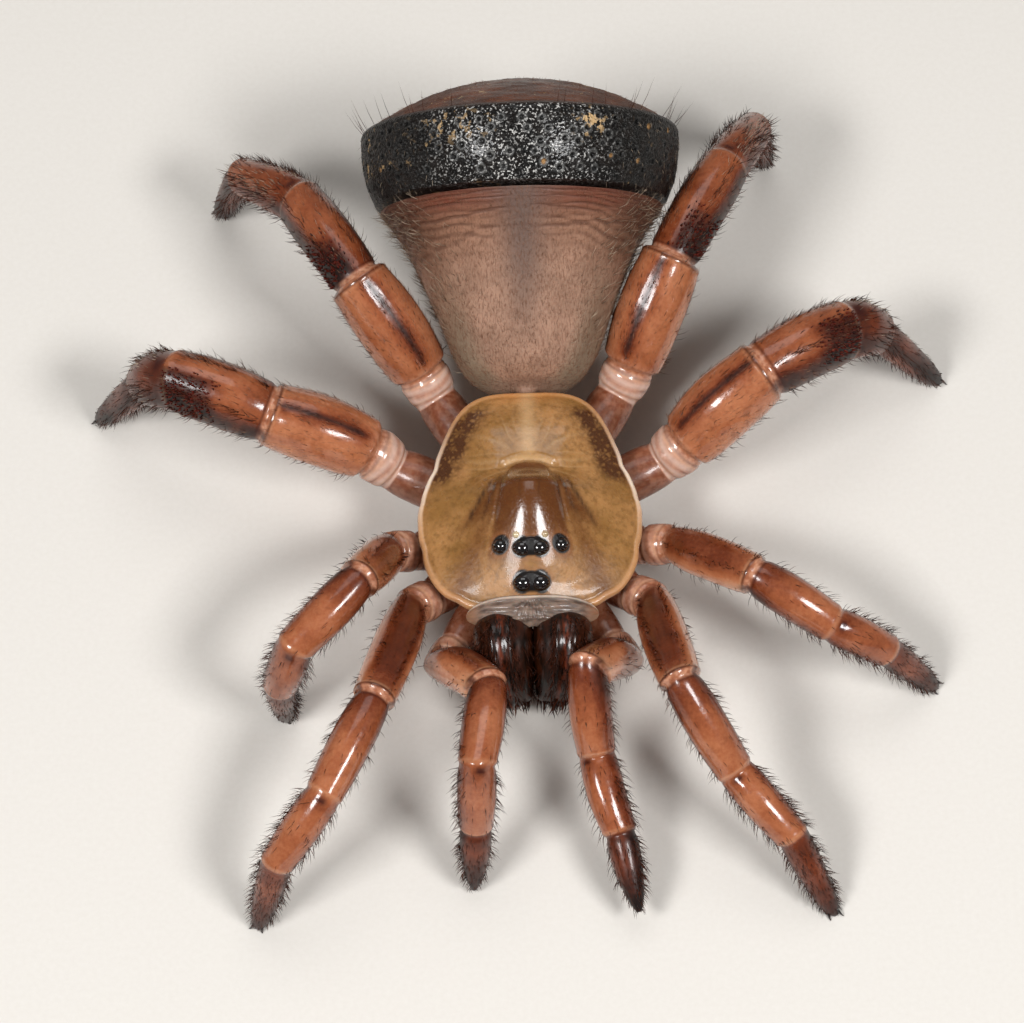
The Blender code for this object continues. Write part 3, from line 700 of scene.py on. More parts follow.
def limb_masks(one):
    i, t, near, far, dorsal, front = one.segment, one.share, one.near, one.far, one.dorsal, one.front
    trochanter, femur, patella = i == TROCHANTER, i == FEMUR, i == PATELLA
    below_knee, tube = i >= PATELLA, (i >= PATELLA) * (i < FOOT)
    top = smooth(-0.3, 0.3, dorsal)
    tone = np.array(TONES[one.limb])[i] + 0.34 * smooth(0.25, 1.0, t) * (i == FOOT)
    # Painted shade: below the knee the sides are darker than the top. On the femora the sides are a little
    # paler
    tone = tone + smooth(0.80, 0.15, dorsal) * (0.22 * below_knee - 0.06 * femur)
    if one.hind:
        # The hind femora are dark along their furrow and fibrous beside it
        furrow = 0.36 * hump(dorsal, 1.0, 0.008) + 0.20 * hump(dorsal, 1.0, 0.06)
        furrow = furrow * smooth(0.02, 0.2, t) * smooth(1.0, 0.9, t)
        tone = tone + femur * (furrow + 0.10 * hump(np.abs(dorsal), 0.45, 0.14))
        tone = tone + patella * (0.20 * smooth(0.85, 0.4, dorsal) + 0.40 * spinule_field(one))
        tone = tone - 0.30 * (i >= TIBIA) * smooth(0.2, -0.4, dorsal)
    else:
        # The front femora are brown on top and pale pinkish on their sides
        browner, paler = smooth(0.58, 0.96, dorsal), smooth(0.75, 0.35, np.abs(dorsal))
        tone = tone + femur * (0.22 * browner - 0.22 * paler)
        tone = tone + 0.16 * patella * smooth(0.65, 0.15, t) - 0.14 * femur * smooth(0.9, 0.3, far)
    tone = tone + 0.10 * hump(t, 0.10, 0.12) * below_knee
    creases = 0.5 + 0.5 * np.sin(19 * near + 2 * np.sin(2 * front + 1))
    soft = np.where(trochanter, 0.45 + 0.55 * creases, 0.30 * (i == COXA))
    knee = np.maximum(femur * smooth(0.13, 0.04, far), patella * smooth(0.12, 0.03, near))
    soft = np.maximum(soft, knee * smooth(-0.7, 0.0, dorsal))
    soft = np.maximum(soft, 0.55 * femur * smooth(0.45, 0.10, near))
    # A pale hem ends each tube
    hem = (hump(far, 0.11, 0.035) * tube + 0.8 * hump(far, 0.20, 0.05) * femur) * (0.5 if one.hind else 1.0)
    hem = hem + 0.9 * trochanter * (hump(far, 0.22, 0.07) + hump(near, 0.25, 0.07))
    # Dark are a hinge at each side of the knee, a line behind each hem and a dot on the tibia. The
    # trochanter's creases get painted shade on their sides
    hinge = hump(np.abs(front), 0.93, 0.08) * (dorsal > -0.2)
    hinge = hinge * np.maximum(hump(far, 0.10, 0.13) * femur, hump(near, 0.05, 0.10) * patella)
    line = hump(far, 0.035, 0.022) * tube + hump(far, 0.14, 0.02) * femur
    line = line + hump(near, 0.13, 0.02) * patella + 0.7 * hump(far, 0.12, 0.03) * trochanter
    # Painted shade in the trochanter's creases, away from its top
    deep = 0.5 * trochanter * smooth(0.80, 1.0, 1 - creases) * smooth(0.7, 0.1, dorsal)
    dot = (i == TIBIA) * hump(near, 0.12, 0.10) * hump(dorsal, 1.0, 0.05)
    mark = np.maximum(np.maximum(hinge, 0.75 * line * top), np.maximum(deep, dot))
    # Pale grey skin on the trochanters, strongest on their tops: partly real pale skin, partly painted
    # sheen
    pale_skin_and_sheen = trochanter * (0.35 + 0.65 * creases) * smooth(0.0, 0.2, far) * (1.0 if one.hind else 0.3) * top
    return {
        "tone": np.clip(tone, 0, 1),
        "soft": soft,
        "mark": np.clip(mark, 0, 1),
        "pale": np.clip(hem * top, 0, 1),
        "pale_skin_and_sheen": pale_skin_and_sheen,
    }


limb_chitin = limb_finish()
for one in limbs.values():
    names = ("femur", "patella", "tibia", "tarsus" if one.limb == "palp" else "foot")
    replaced = [f"{one.name}_{name}" for name in names]
    loft(f"{one.name}_skin", one.grid, limb_chitin, limb_masks(one), replaced)
print("limb skins:", len(limbs))

# %% [markdown]
# ## Carapace
# The shield over the front body is one hard plate with a raised head part, a curved pit behind it where
# muscles pull from inside, and a paler rim. Its outline is a superellipse, so a polar grid of rings fits
# it, and every height comes from a formula. A sculpt would also do, but formulas keep both halves alike.

# %% Shape the carapace
HALF_LENGTH = 3.75
HALF_WIDTH = 3.5
REAR_NARROWING = 1.2
FRONT_SQUARENESS = 3.0
REAR_SQUARENESS = 4.0
EDGE_Z = 3.3
REAR_LIFT = 0.4
DOME = 0.95
EDGE_THICKNESS = 0.2
CARAPACE_FLOOR_Z = 2.95
CAPUT_RISE = 1.05
CAPUT_HALF_WIDTH = 1.45
CAPUT_REAR_Y = 1.35
CAPUT_CREST_Y = 0.15
CAPUT_FRONT_Y = -4.2
CAPUT_FRONT_SHARE = 0.25
FOVEA_Y = 1.45
FOVEA_RADIUS = 0.75
CARAPACE_AROUND = 300
CARAPACE_RINGS = 110
DOME_POWER = 2.3
NOTCH_PLACES = (0.40, 0.02, -0.42, -0.95)
NOTCH_WIDTH = 0.07
NOTCH_DEPTH = 0.055
# Four rings lie under the edge, at these shares of the outline. The last three of them and the edge itself
# drop by these shares of its thickness
UNDER_SHARES = (0.86, 0.93, 0.975, 0.993)
UNDER_DROPS = (1.0, 0.95, 0.7, 0.35)
EDGE_LIFT = 0.04
LEAST_SHARE = 0.012


def carapace_reach(angle):
    """Distance of the outline from its middle. Angle 0 is the left side and a quarter turn the rear."""
    across, along = np.cos(angle), np.sin(angle)
    half_width = HALF_WIDTH - REAR_NARROWING * np.maximum(0, along)
    power = np.where(along > 0, REAR_SQUARENESS, FRONT_SQUARENESS)
    total = np.abs(across / half_width) ** power + np.abs(along / HALF_LENGTH) ** power
    return total ** (-1 / power)


def caput_rise(x, y):
    """The raised head part. It climbs steeply from the pit and falls slowly to the front edge."""
    ahead = np.clip((CAPUT_CREST_Y - y) / (CAPUT_CREST_Y - CAPUT_FRONT_Y), 0, 1)
    fall = 1 - (1 - CAPUT_FRONT_SHARE) * ahead
    return CAPUT_RISE * hump(x, 0.0, CAPUT_HALF_WIDTH) * smooth(CAPUT_REAR_Y, CAPUT_CREST_Y, y) * fall


def carapace_edge_z(y):
    return EDGE_Z + REAR_LIFT * smooth(0.5, 4.0, y)


def carapace_top(x, y):
    back = y - CARAPACE_MIDDLE_Y
    share = np.minimum(1.0, np.hypot(x, back) / carapace_reach(np.arctan2(back, x)))
    return carapace_edge_z(y) + DOME * (1 - share**DOME_POWER) + caput_rise(x, y)


def notches(angle):
    """Shallow bays of the outline between the legs."""
    total = 0
    for place in NOTCH_PLACES:
        for mirrored in (place, math.pi - place):
            off = np.angle(np.exp(1j * (angle - mirrored)))
            total = total + hump(off, 0.0, NOTCH_WIDTH)
    return total


def fovea_line(x):
    """How far back the curved pit lies at each distance from the midline."""
    lean = np.clip(x / FOVEA_RADIUS, -1.35, 1.35)
    return FOVEA_Y - 0.42 * (1 - np.cos(lean))


print("carapace height at its middle:", round(float(carapace_top(0, CARAPACE_MIDDLE_Y)), 2), "mm")

# %% Build the carapace mesh
EYES = {
    "front_lateral": (0.29, -2.68, 0.27),
    "front_median": (0.29, -1.73, 0.26),
    "rear_lateral": (0.93, -1.57, 0.24),
    "rear_median": (0.43, -1.35, 0.13),
}
EYE_SUNK = 0.35
FUSED = {"front_lateral": (0.27, 1.12), "front_median": (0.27, 1.12)}
CAPUT_TIP_Y = 1.42
STRIAE = (0.30, 0.62, 0.95, 1.25, 1.52, 1.80, 2.05)
NETWORK_KEYS = ((0.7, 2.95), (1.6, 2.60), (2.6, 2.15), (3.4, 1.65))


def caput_half(y):
    """Half the width of the brown head part: a rounded tip at the pit, then slowly wider."""
    back = np.clip(CAPUT_TIP_Y - y, 0, 5)
    return 0.62 * np.sqrt(np.clip(1 - np.exp(-back / 0.18), 0, 1)) + 0.21 * back


def striae(x, y):
    """Fine pale lines that run out from the pit towards the legs."""
    out = np.hypot(x, y - FOVEA_Y)
    turn = np.arctan2(np.abs(x), y - FOVEA_Y)
    total = 0
    for place in STRIAE:
        bend = place + 0.16 * np.sin(out * 1.1 + place * 5) * smooth(0.6, 2.0, out)
        total = total + hump((turn - bend) * out, 0.0, 0.05 + 0.03 * math.sin(place * 9))
    return total * smooth(0.5, 0.9, out) * smooth(2.5, 1.2, out)


def carapace_relief(x, y, share, angle):
    """Small forms on top of the plain dome."""
    within = smooth(1.0, 0.72, np.abs(x))
    line = y - fovea_line(x)
    groove = -0.15 * hump(line, 0.10, 0.12) * within
    edge = np.abs(x) - caput_half(y)
    on_caput = smooth(1.35, 1.0, y) * smooth(-1.2, -0.5, y)
    seam = -0.07 * hump(edge, 0.02, 0.09) * on_caput
    wing = -0.05 * hump(edge, 0.42, 0.14) * smooth(0.9, 0.4, y) * smooth(-0.6, 0.0, y)
    rim = 0.022 * smooth(0.945, 0.98, share) - 0.022 * hump(share, 0.945, 0.018)
    behind = smooth(0.4, 1.6, y)
    bays = -0.05 * hump(share, 0.80, 0.08) * hump(np.sin(4 * angle), 1.0, 0.8)
    pairs = 0
    for kind, lift in (("front_median", 0.20), ("front_lateral", 0.22)):
        _, along, radius = EYES[kind]
        away = np.hypot(x / 0.50, (y - along) / (radius * 0.95))
        pairs = pairs + 0.5 * lift * smooth(1.15, 0.55, away)
    crown = 0.18 * hump(y, -0.35, 0.85) * hump(x, 0.0, 0.95)
    return crown + groove + seam + wing + rim * (1 - 0.4 * behind) - 0.010 * striae(x, y) + bays + pairs


def carapace_masks(x, y, share):
    half = caput_half(y)
    edge = np.abs(x) - half
    caput = smooth(0.10, -0.08, edge) * smooth(1.5, 1.3, y) * smooth(-2.3, -1.6, y)
    # Brown wings fan out from the sides of the head part, with dark lines in them
    fan = np.abs(x) - half - 0.10 - 0.60 * np.clip(0.9 - y, 0, 3)
    wing = smooth(0.35, -0.25, fan) * smooth(1.15, 0.6, y) * smooth(-1.3, -0.3, y)
    side = np.abs(x) - 1.35 - 0.42 * np.clip(-y - 0.6, -0.6, 3)
    front = hump(side, 0.0, 0.42) * smooth(0.5, -0.4, y)
    streak = 0
    for out, lean, width in ((-0.03, 0.02, 0.07), (0.16, 0.20, 0.08), (0.34, 0.40, 0.10)):
        line = edge - out - lean * np.clip(0.75 - y, -0.4, 2)
        reach = smooth(1.0 - out / 2, 0.7 - out / 2, y) * smooth(-0.75, 0.1, y + out)
        streak = np.maximum(streak, hump(line, 0, width) * reach)
    inner = 0.45 * hump(np.abs(x), 0.30, 0.05) * smooth(1.1, 0.6, y) * smooth(-1.0, 0.0, y)
    streak = np.maximum(streak, inner)
    network = hump(np.abs(x), curve(NETWORK_KEYS, y), 0.50) * smooth(0.75, 1.3, y) * smooth(3.7, 3.1, y)
    surround, glow = 0, 0
    for out, along, radius in EYES.values():
        away = np.hypot(np.abs(x) - out, (y - along) * 0.93)
        size = 1.0 if radius > 0.2 else 0.2
        surround = np.maximum(surround, size * smooth(radius * 1.22, radius * 1.05, away))
        # Painted highlight: a lighter ring around each eye
        glow = np.maximum(glow, smooth(radius * 1.9, radius * 1.2, away))
    for kind in ("front_median", "front_lateral"):
        _, along, radius = EYES[kind]
        away = np.hypot(x / 0.52, (y - along) / (radius * 1.05))
        surround = np.maximum(surround, smooth(1.06, 0.92, away))
    line = y - fovea_line(x)
    within = smooth(1.0, 0.6, np.abs(x))
    # A pale crescent behind the pit, partly pale cuticle and partly a painted highlight of its ridge. The
    # striae and the median stripe are pale cuticle
    pale = np.maximum(hump(line, 0.16, 0.09) * within, 0.3 * striae(x, y))
    pale = np.maximum(pale, 0.8 * hump(x, 0.0, 0.26) * smooth(1.5, 1.8, y))
    return {
        "rim": smooth(0.945, 0.972, share),
        # Painted highlight: a near-white gloss on the rim towards the rear
        "gloss": smooth(0.945, 0.975, share) * hump(y, 1.2, 1.1),
        "caput": caput,
        "wing": np.maximum(wing, front * 0.75),
        "streak": streak,
        "network": network,
        "surround": surround,
        "glow": glow,
        "pale": pale,
        "rear": smooth(3.45, 4.0, y) * hump(x, 0.0, 1.2),
        "brow": smooth(-1.2, -2.0, y),
    }


def make_carapace(material):
    turn = angles(CARAPACE_AROUND)
    share = np.concatenate([UNDER_SHARES, np.linspace(1.0, LEAST_SHARE, CARAPACE_RINGS)])[:, None]
    reach = share * (carapace_reach(turn) - NOTCH_DEPTH * notches(turn))
    x = reach * np.cos(turn)
    y = CARAPACE_MIDDLE_Y + reach * np.sin(turn)
    z = carapace_top(x, y) + carapace_relief(x, y, share, turn)
    z[0] = CARAPACE_FLOOR_Z
    z[1:5] = carapace_edge_z(y[1:5]) + EDGE_LIFT - EDGE_THICKNESS * np.array(UNDER_DROPS)[:, None]
    grid = points_at(x, y, z)
    return loft("carapace_skin", grid, material, carapace_masks(x, y, share), ["carapace"])


def carapace_finish():
    finish = Finish(
        "carapace_chitin",
        Specular_IOR_Level=0.4,
        Coat_Roughness=0.10,
        Subsurface_Weight=0.10,
        Subsurface_Scale=0.0006,
        Subsurface_Radius=(1.0, 0.5, 0.2),
        IOR=1.5,
    )
    cloud = finish.noise(0.8, 4.0)
    fine = finish.noise(5.0, 5.0)
    web = finish.cells(6.0, "DISTANCE_TO_EDGE").step(0.05, 0.40)
    clumps = finish.noise(2.6, 5.0).step(0.30, 0.66)
    dark = finish.mask("network") * (0.55 + clumps * 0.75) * (1.0 - web * 0.55)
    comb = finish.noise(3.2, 2.0, (3.4, 0.6, 1.0)).step(0.40, 0.60)
    colour = finish.paint(
        finish.mix(cloud.step(0.32, 0.66), (172, 124, 74), (142, 100, 50)),
        (fine.step(0.42, 0.72), 0.6, (108, 74, 32)),
        (finish.mask("wing") * (0.60 + fine * 0.6).clamp(), 1, (98, 54, 16)),
        (finish.mask("caput") * (0.66 + fine * 0.5).clamp(), 1, (94, 50, 14)),
        ((dark * 1.35).clamp(), 1, (76, 42, 17)),
        ("rim", 0.55, (206, 152, 106)),
        # Painted highlight on the rear rim
        ("gloss", 0.8, (240, 222, 204)),
        ("rear", 0.6, (206, 136, 72)),
        # Pale marks, with a painted highlight on the ridge behind the pit
        ("pale", 0.6, (210, 172, 126)),
        # Painted highlight around the eyes
        ("glow", 0.45, (146, 92, 50)),
        (finish.mask("streak") * (0.30 + comb * 0.5).clamp(), 1, (48, 26, 11)),
        ("surround", 1, (14, 9, 8)),
    )
    brow = finish.mask("brow")
    rough = 0.26 + (finish.noise(3.0) - 0.5) * 0.20 + brow * 0.18
    coarse = finish.bump(finish.noise(1.9, 3.0), 0.06, 0.24)
    normal = finish.bump(finish.noise(9.0, 3.0), 0.030, 0.55, coarse)
    return finish.set(Base_Color=colour, Roughness=rough, Coat_Weight=0.65 - brow * 0.40, Normal=normal)


carapace = make_carapace(carapace_finish())
print("carapace points:", len(carapace.data.vertices))

# %% [markdown]
# ## Eyes
# The eight eyes are simple lenses. They are round beads sunk about a third into the head, and nearly all
# of their look is the highlight, so a smooth sphere with a clear coat does it. The smallest rear pair is
# cream, the others are black.

# %% Set the eyes
EYE_SEGMENTS = 40


def ball(centre, radii, around, rings):
    """Rings of a ball, from its bottom to its top."""
    lean = ((np.arange(rings) + 0.5) * math.pi / rings)[:, None]
    turn = angles(around)
    x = centre[0] + radii[0] * np.sin(lean) * np.cos(turn)
    y = centre[1] + radii[1] * np.sin(lean) * np.sin(turn)
    return points_at(x, y, centre[2] - radii[2] * np.cos(lean))


def eye_finish(name, deep, ring):
    finish = Finish(name, Coat_Weight=1.0, Coat_Roughness=0.02, IOR=1.55)
    clouds = finish.noise(5.0, 3.0)
    rough = 0.05 + clouds * 0.05
    return finish.set(Base_Color=finish.mix(clouds.step(0.4, 0.7), deep, ring), Roughness=rough)


def make_eyes():
    dark = eye_finish("eye_lens", (7, 6, 7), (22, 14, 12))
    cream = eye_finish("small_eye_lens", (206, 186, 150), (150, 120, 84))
    for kind, (out, along, radius) in EYES.items():
        for word, side in SIDES.items():
            out, wide = FUSED.get(kind, (out, 1.0))
            centre = (side * out, along, float(carapace_top(out, along)) - radius * EYE_SUNK)
            grid = ball(centre, (radius * wide, radius, radius), EYE_SEGMENTS, EYE_SEGMENTS // 2)
            finish = cream if kind == "rear_median" else dark
            loft(f"lens_{kind}_{word}", grid, finish, replaced=[f"eye_{kind}_{word}"])


make_eyes()
print("eyes:", 2 * len(EYES))

# %% [markdown]
# ## Jaws and the skin above them
# Each chelicera is a thick, bent, nearly black-brown block that carries a fang folded under it and a rake
# of short spines, with which the spider digs. Soft grey skin, creased like a bellows, joins the jaws to
# the front edge of the carapace. The blocks are lofted through seven ellipses that droop more and more.

# %% Shape the jaws
CHELICERA_RINGS = (
    (0.98, -3.40, 3.05, 0.62, 0.62, 0),
    (0.98, -3.72, 3.08, 0.84, 0.88, 5),
    (0.98, -4.25, 3.02, 0.87, 1.02, 14),
    (0.92, -4.80, 2.72, 0.82, 0.94, 28),
    (0.80, -5.25, 2.36, 0.70, 0.74, 42),
    (0.65, -5.55, 2.05, 0.52, 0.50, 52),
    (0.58, -5.70, 1.85, 0.28, 0.26, 56),
)
JAW_ROWS = 110
JAW_AROUND = 72
FANG_X = 0.58
FANG_X_STEP = 0.02
FANG_AROUND = 28
# Rings of a fang: place along and above the body, and radius
FANG_RINGS = (
    (-5.36, 1.75, 0.23),
    (-5.42, 1.50, 0.25),
    (-5.40, 1.20, 0.25),
    (-5.25, 0.94, 0.22),
    (-4.98, 0.80, 0.18),
    (-4.50, 0.80, 0.11),
    (-4.10, 0.95, 0.03),
)
TUBE_ROWS = 60
WAIST_DEPTH = 0.10
WAIST_WIDTH = 0.06


def loft_keys(keys, count):
    """Smooth columns through a table of rings, spaced evenly in its row number."""
    rows = np.linspace(0, len(keys) - 1, count)
    return [curve(list(enumerate(column)), rows) for column in zip(*keys)]


def leaning_rings(x, y, z, wide, high, tilt, wave):
    """Ellipses across the body, each leaning back by its tilt in degrees. The wave swells each point."""
    turn = angles(wave.shape[-1])
    lean = np.radians(tilt)[:, None]
    across = x[:, None] + wide[:, None] * np.cos(turn) * wave
    rise = high[:, None] * np.sin(turn) * wave
    return points_at(across, y[:, None] - rise * np.sin(lean), z[:, None] + rise * np.cos(lean))


def tube_grid(path, radii, around):
    """Rings square to a bent path."""
    path = np.asarray(path, float)
    ahead = unit(np.gradient(path, axis=0))
    side = np.array([1.0, 0.0, 0.0]) if abs(ahead[0][0]) < 0.9 else np.array([0.0, 0.0, 1.0])
    turn = angles(around)
    rows = []
    for point, way, radius in zip(path, ahead, radii):
        side = unit(side - way * side.dot(way))
        up = np.cross(side, way)
        rows.append(point + radius * (np.outer(np.cos(turn), side) + np.outer(np.sin(turn), up)))
    return np.array(rows)


def paired_tubes(keys, root, step, around, joints=()):
    """A left and a right tube through rings that lie further out one by one. Waists mark the joints."""
    place = np.linspace(0, len(keys) - 1, TUBE_ROWS)
    y, z, radii = loft_keys(keys, TUBE_ROWS)
    waist = 1.0
    for joint in joints:
        waist = waist - WAIST_DEPTH * hump(place, joint, WAIST_WIDTH)
    for word, side in SIDES.items():
        yield word, tube_grid(points_at(side * (root + step * place), y, z), radii * waist, around)


def jaw_finish():
    finish = Finish("jaw_chitin", Coat_Weight=0.35, Coat_Roughness=0.08, Specular_IOR_Level=0.25)
    lines = finish.noise(2.4, 3.0, (3.0, 0.8, 1.0))
    colour = finish.paint(
        finish.mix(lines.step(0.3, 0.75), (12, 6, 3), (58, 24, 9)),
        (finish.mask("seam") * lines.step(0.40, 0.62), 0.7, (116, 46, 18)),
    )
    return finish.set(Base_Color=colour, Roughness=0.24 + lines * 0.16, Normal=chitin_bump(finish, 0.9))


def make_jaws(material):
    out, y, z, wide, high, droop = loft_keys(CHELICERA_RINGS, JAW_ROWS)
    row = np.linspace(0, 1, JAW_ROWS)[:, None]
    turn = angles(JAW_AROUND)
    top = np.sin(turn) > 0
    fade = smooth(0.05, 0.25, row) * smooth(0.95, 0.75, row)
    grids = {}
    for word, side in SIDES.items():
        # Two long ridges on top with a reddish valley between them. The inner sides nearly meet
        across = side * np.cos(turn)
        ridge = hump(across, -0.28, 0.13) + hump(across, 0.36, 0.14) - 0.9 * hump(across, 0.04, 0.12)
        wave = 1 + 0.055 * fade * ridge * top + 0.14 * smooth(-0.4, -0.95, across)
        grids[word] = leaning_rings(side * out, y, z, wide, high, droop, wave)
        masks = {"seam": hump(across, 0.04, 0.12) * top * smooth(0.95, 0.7, row)}
        name = f"chelicera_{word}"
        loft(f"{name}_skin", grids[word], material, masks, [name])
    return grids


def fang_finish():
    finish = Finish("fang_chitin", Coat_Weight=1.0, Coat_Roughness=0.05, IOR=1.5)
    streaks = finish.noise(3.0, 3.0, (4.0, 0.6, 0.6))
    colour = finish.mix(streaks.step(0.4, 0.7), (16, 9, 8), (60, 20, 12))
    return finish.set(Base_Color=colour, Roughness=0.18 + streaks * 0.12, Normal=chitin_bump(finish, 0.5))


jaw_grids = make_jaws(jaw_finish())
fang_horn = fang_finish()
for word, grid in paired_tubes(FANG_RINGS, FANG_X, FANG_X_STEP, FANG_AROUND):
    loft(f"fang_{word}_horn", grid, fang_horn, replaced=[f"fang_{word}"])
print("jaw rings:", JAW_ROWS)

# %% Stretch the skin above the jaws
BAND_HALF_WIDTH = 2.05
BAND_BACK = (-3.08, 4.00)
BAND_FRONT = (-3.92, 3.62)
BAND_THICK = 0.10
BAND_ROWS = 200
BAND_AROUND = 64
CORNER_DROP = 0.55


def band_finish():
    finish = Finish(
        "clypeus_skin",
        Coat_Weight=0.35,
        Coat_Roughness=0.15,
        Specular_IOR_Level=0.35,
        Subsurface_Weight=0.2,
        Subsurface_Scale=0.0004,
    )
    folds = finish.noise(2.2, 3.0, (1.0, 3.0, 2.0))
    colour = finish.paint(
        finish.mix(folds.step(0.3, 0.7), (74, 58, 50), (128, 106, 92)),
        ("end", 0.75, (146, 106, 78)),
        # Painted highlight: a whitish line along the top of the band's back edge
        (finish.mask("edge") * (0.3 + folds * 0.8).clamp(), 1, (214, 194, 176)),
    )
    return finish.set(Base_Color=colour, Roughness=0.34 + folds * 0.2, Normal=finish.bump(folds, 0.04, 0.7))


def make_band(material):
    """A creased bow of soft skin from the carapace's front edge down to the backs of the jaws."""
    x = np.linspace(-BAND_HALF_WIDTH, BAND_HALF_WIDTH, BAND_ROWS)[:, None]
    end = np.abs(x) / BAND_HALF_WIDTH
    reach = np.sqrt(np.clip(1.003 - end**3.2, 0, 1))
    section = angles(BAND_AROUND)[None, :]
    across = 0.5 - 0.5 * np.cos(section)
    over = np.sin(section) > 0
    middle = (BAND_BACK[0] + BAND_FRONT[0]) / 2 + 0.10 * end**2
    y = middle - (BAND_BACK[0] - BAND_FRONT[0]) * (across - 0.5) * reach
    y = y - 0.10 * hump(end, 0.45, 0.35) * smooth(0.5, 1.0, across)
    rise = BAND_BACK[1] + (BAND_FRONT[1] - BAND_BACK[1]) * (0.5 + (across - 0.5) * reach)
    rise = rise - CORNER_DROP * end**2.5 + 0.10 * np.sin(math.pi * across) * reach
    waves = 0.022 * np.sin(across * 17 + 2.5 * end) + 0.010 * np.sin(across * 41 + 3 * end)
    turn = np.arctan2(x, 0.25 + across)
    fan = 0.030 * np.sin(22 * turn) * hump(x, 0.0, 0.55) * smooth(0.1, 0.5, across)
    swell = BAND_THICK * np.sign(np.sin(section)) * np.abs(np.sin(section)) ** 0.6
    z = rise + swell * reach + (waves + fan) * over * reach
    # The edge mask places the painted highlight along the top of the back edge
    masks = {"edge": hump(across, 0.08, 0.05) * over, "end": smooth(0.72, 0.95, end)}
    loft("clypeus_skin", points_at(x, y, z), material, masks)


make_band(band_finish())
print("skin band rings:", BAND_ROWS)

# %% [markdown]
# ## Abdomen
# Behind the waist the abdomen swells like a bag and ends in a hard disc. Its skin is soft, a pinkish
# grey-brown and finely creased, with deeper folds across it where it meets the disc. The bag is lofted
# through tilted ellipses. The folds are real ripples of the surface, because bump alone would leave the
# outline smooth. Painted shade darkens their hollows, and the flanks towards the disc.

# %% Shape the abdomen
ABDOMEN_RINGS = (
    (4.05, 3.14, 0.30, 0.28, 0),
    (4.42, 3.20, 0.36, 0.34, 0),
    (4.50, 3.30, 1.10, 0.95, 0),
    (4.80, 3.40, 1.75, 1.50, 2),
    (5.50, 3.62, 2.25, 2.02, 5),
    (6.50, 4.00, 2.68, 2.60, 9),
    (7.60, 4.45, 3.15, 3.25, 13),
    (8.60, 4.92, 3.65, 3.85, 16),
    (9.25, 5.25, 4.12, 4.28, 18),
    (9.62, 5.44, 4.44, 4.50, 18.6),
)
ABDOMEN_ROWS = 260
ABDOMEN_AROUND = 220
FOLD_PLACES = (0.69, 0.725, 0.757, 0.789, 0.815, 0.84, 0.862, 0.884, 0.905, 0.925, 0.945, 0.965)
FOLD_WIDTH = 0.006
FOLD_DEPTH = 0.036
CREASE_DEPTH = 0.013
WAVE_DEPTH = 0.020
HOLLOW_REACH = 5
HOLLOW_DEPTH = 0.020


def abdomen_grid():
    y, z, wide, high, tilt = loft_keys(ABDOMEN_RINGS, ABDOMEN_ROWS)
    grid = leaning_rings(0 * y, y, z, wide, high, tilt, np.ones(ABDOMEN_AROUND))
    out, _, _ = facing(grid)
    row = np.linspace(0, 1, ABDOMEN_ROWS)[:, None]
    turn = angles(ABDOMEN_AROUND)[None, :]
    middle = hump(np.cos(turn), 0.0, 0.20) * (np.sin(turn) > 0)
    folds = 0
    for n, place in enumerate(FOLD_PLACES):
        wander = place + 0.007 * np.sin(3 * turn + 2 * n) + 0.005 * np.sin(8 * turn + 3 * n)
        wander = wander + 0.003 * np.sin(19 * turn + n)
        depth = smooth(0.60, 0.85, place) * np.clip(0.55 + 0.65 * np.sin(2.4 * turn + 2.1 * n), 0.05, 1.0)
        folds = folds - depth * hump(row, wander, FOLD_WIDTH)
    creases = np.sin(30 * math.tau * row + 3.0 * np.sin(4 * turn) + 1.5 * np.sin(11 * turn))
    creases = creases * smooth(0.62, 0.78, row)
    long_waves = np.sin(9 * turn + 2 * np.sin(5 * row)) * smooth(0.75, 0.45, row) * smooth(0.25, 0.4, row)
    fine_folds = CREASE_DEPTH * creases * (0.35 + 0.65 * np.abs(np.cos(turn))) * (1 - 0.6 * middle)
    relief = FOLD_DEPTH * folds * (1 - 0.85 * middle) + fine_folds + WAVE_DEPTH * long_waves
    return grid + out * relief[..., None]


def abdomen_finish():
    finish = Finish(
        "abdomen_skin",
        Specular_IOR_Level=0.3,
        Coat_Roughness=0.35,
        Subsurface_Weight=0.15,
        Subsurface_Scale=0.0006,
        Subsurface_Radius=(1.0, 0.5, 0.35),
    )
    back = finish.mask("back")
    cloud = finish.noise(0.8, 4.0)
    grit = finish.noise(8.0, 4.0)
    threads = finish.noise(9.0, 3.0, (2.4, 0.5, 0.5))
    skin = finish.paint(
        finish.mix(cloud.step(0.3, 0.7), (150, 116, 96), (174, 136, 114)),
        ("flank", 0.9, (128, 112, 92)),
        (back.step(0.60, 0.80), 0.55, (140, 94, 68)),
        (back.step(0.76, 0.92) * (0.55 + cloud * 0.7).clamp(), 1, (108, 54, 35)),
        (back.step(0.955, 0.99), 0.7, (78, 34, 24)),
        (finish.mask("middle") * back.step(0.30, 0.75), 0.9, (104, 87, 80)),
        # Painted shade on the flanks near the disc
        ("side", 0.85, (66, 40, 28)),
        # Painted shade in the fold hollows
        ("fold_hollow_shade", 0.60, (70, 34, 22)),
        (threads.step(0.45, 0.70), 0.50, (112, 76, 58)),
        (grit.step(0.50, 0.75), 0.30, (104, 70, 52)),
    )
    normal = finish.bump(finish.cells(9.0), 0.015, 0.5, finish.bump(grit, 0.02, 0.7))
    return finish.set(Base_Color=skin, Roughness=0.52 + grit * 0.2, Coat_Weight=0.12, Normal=normal)


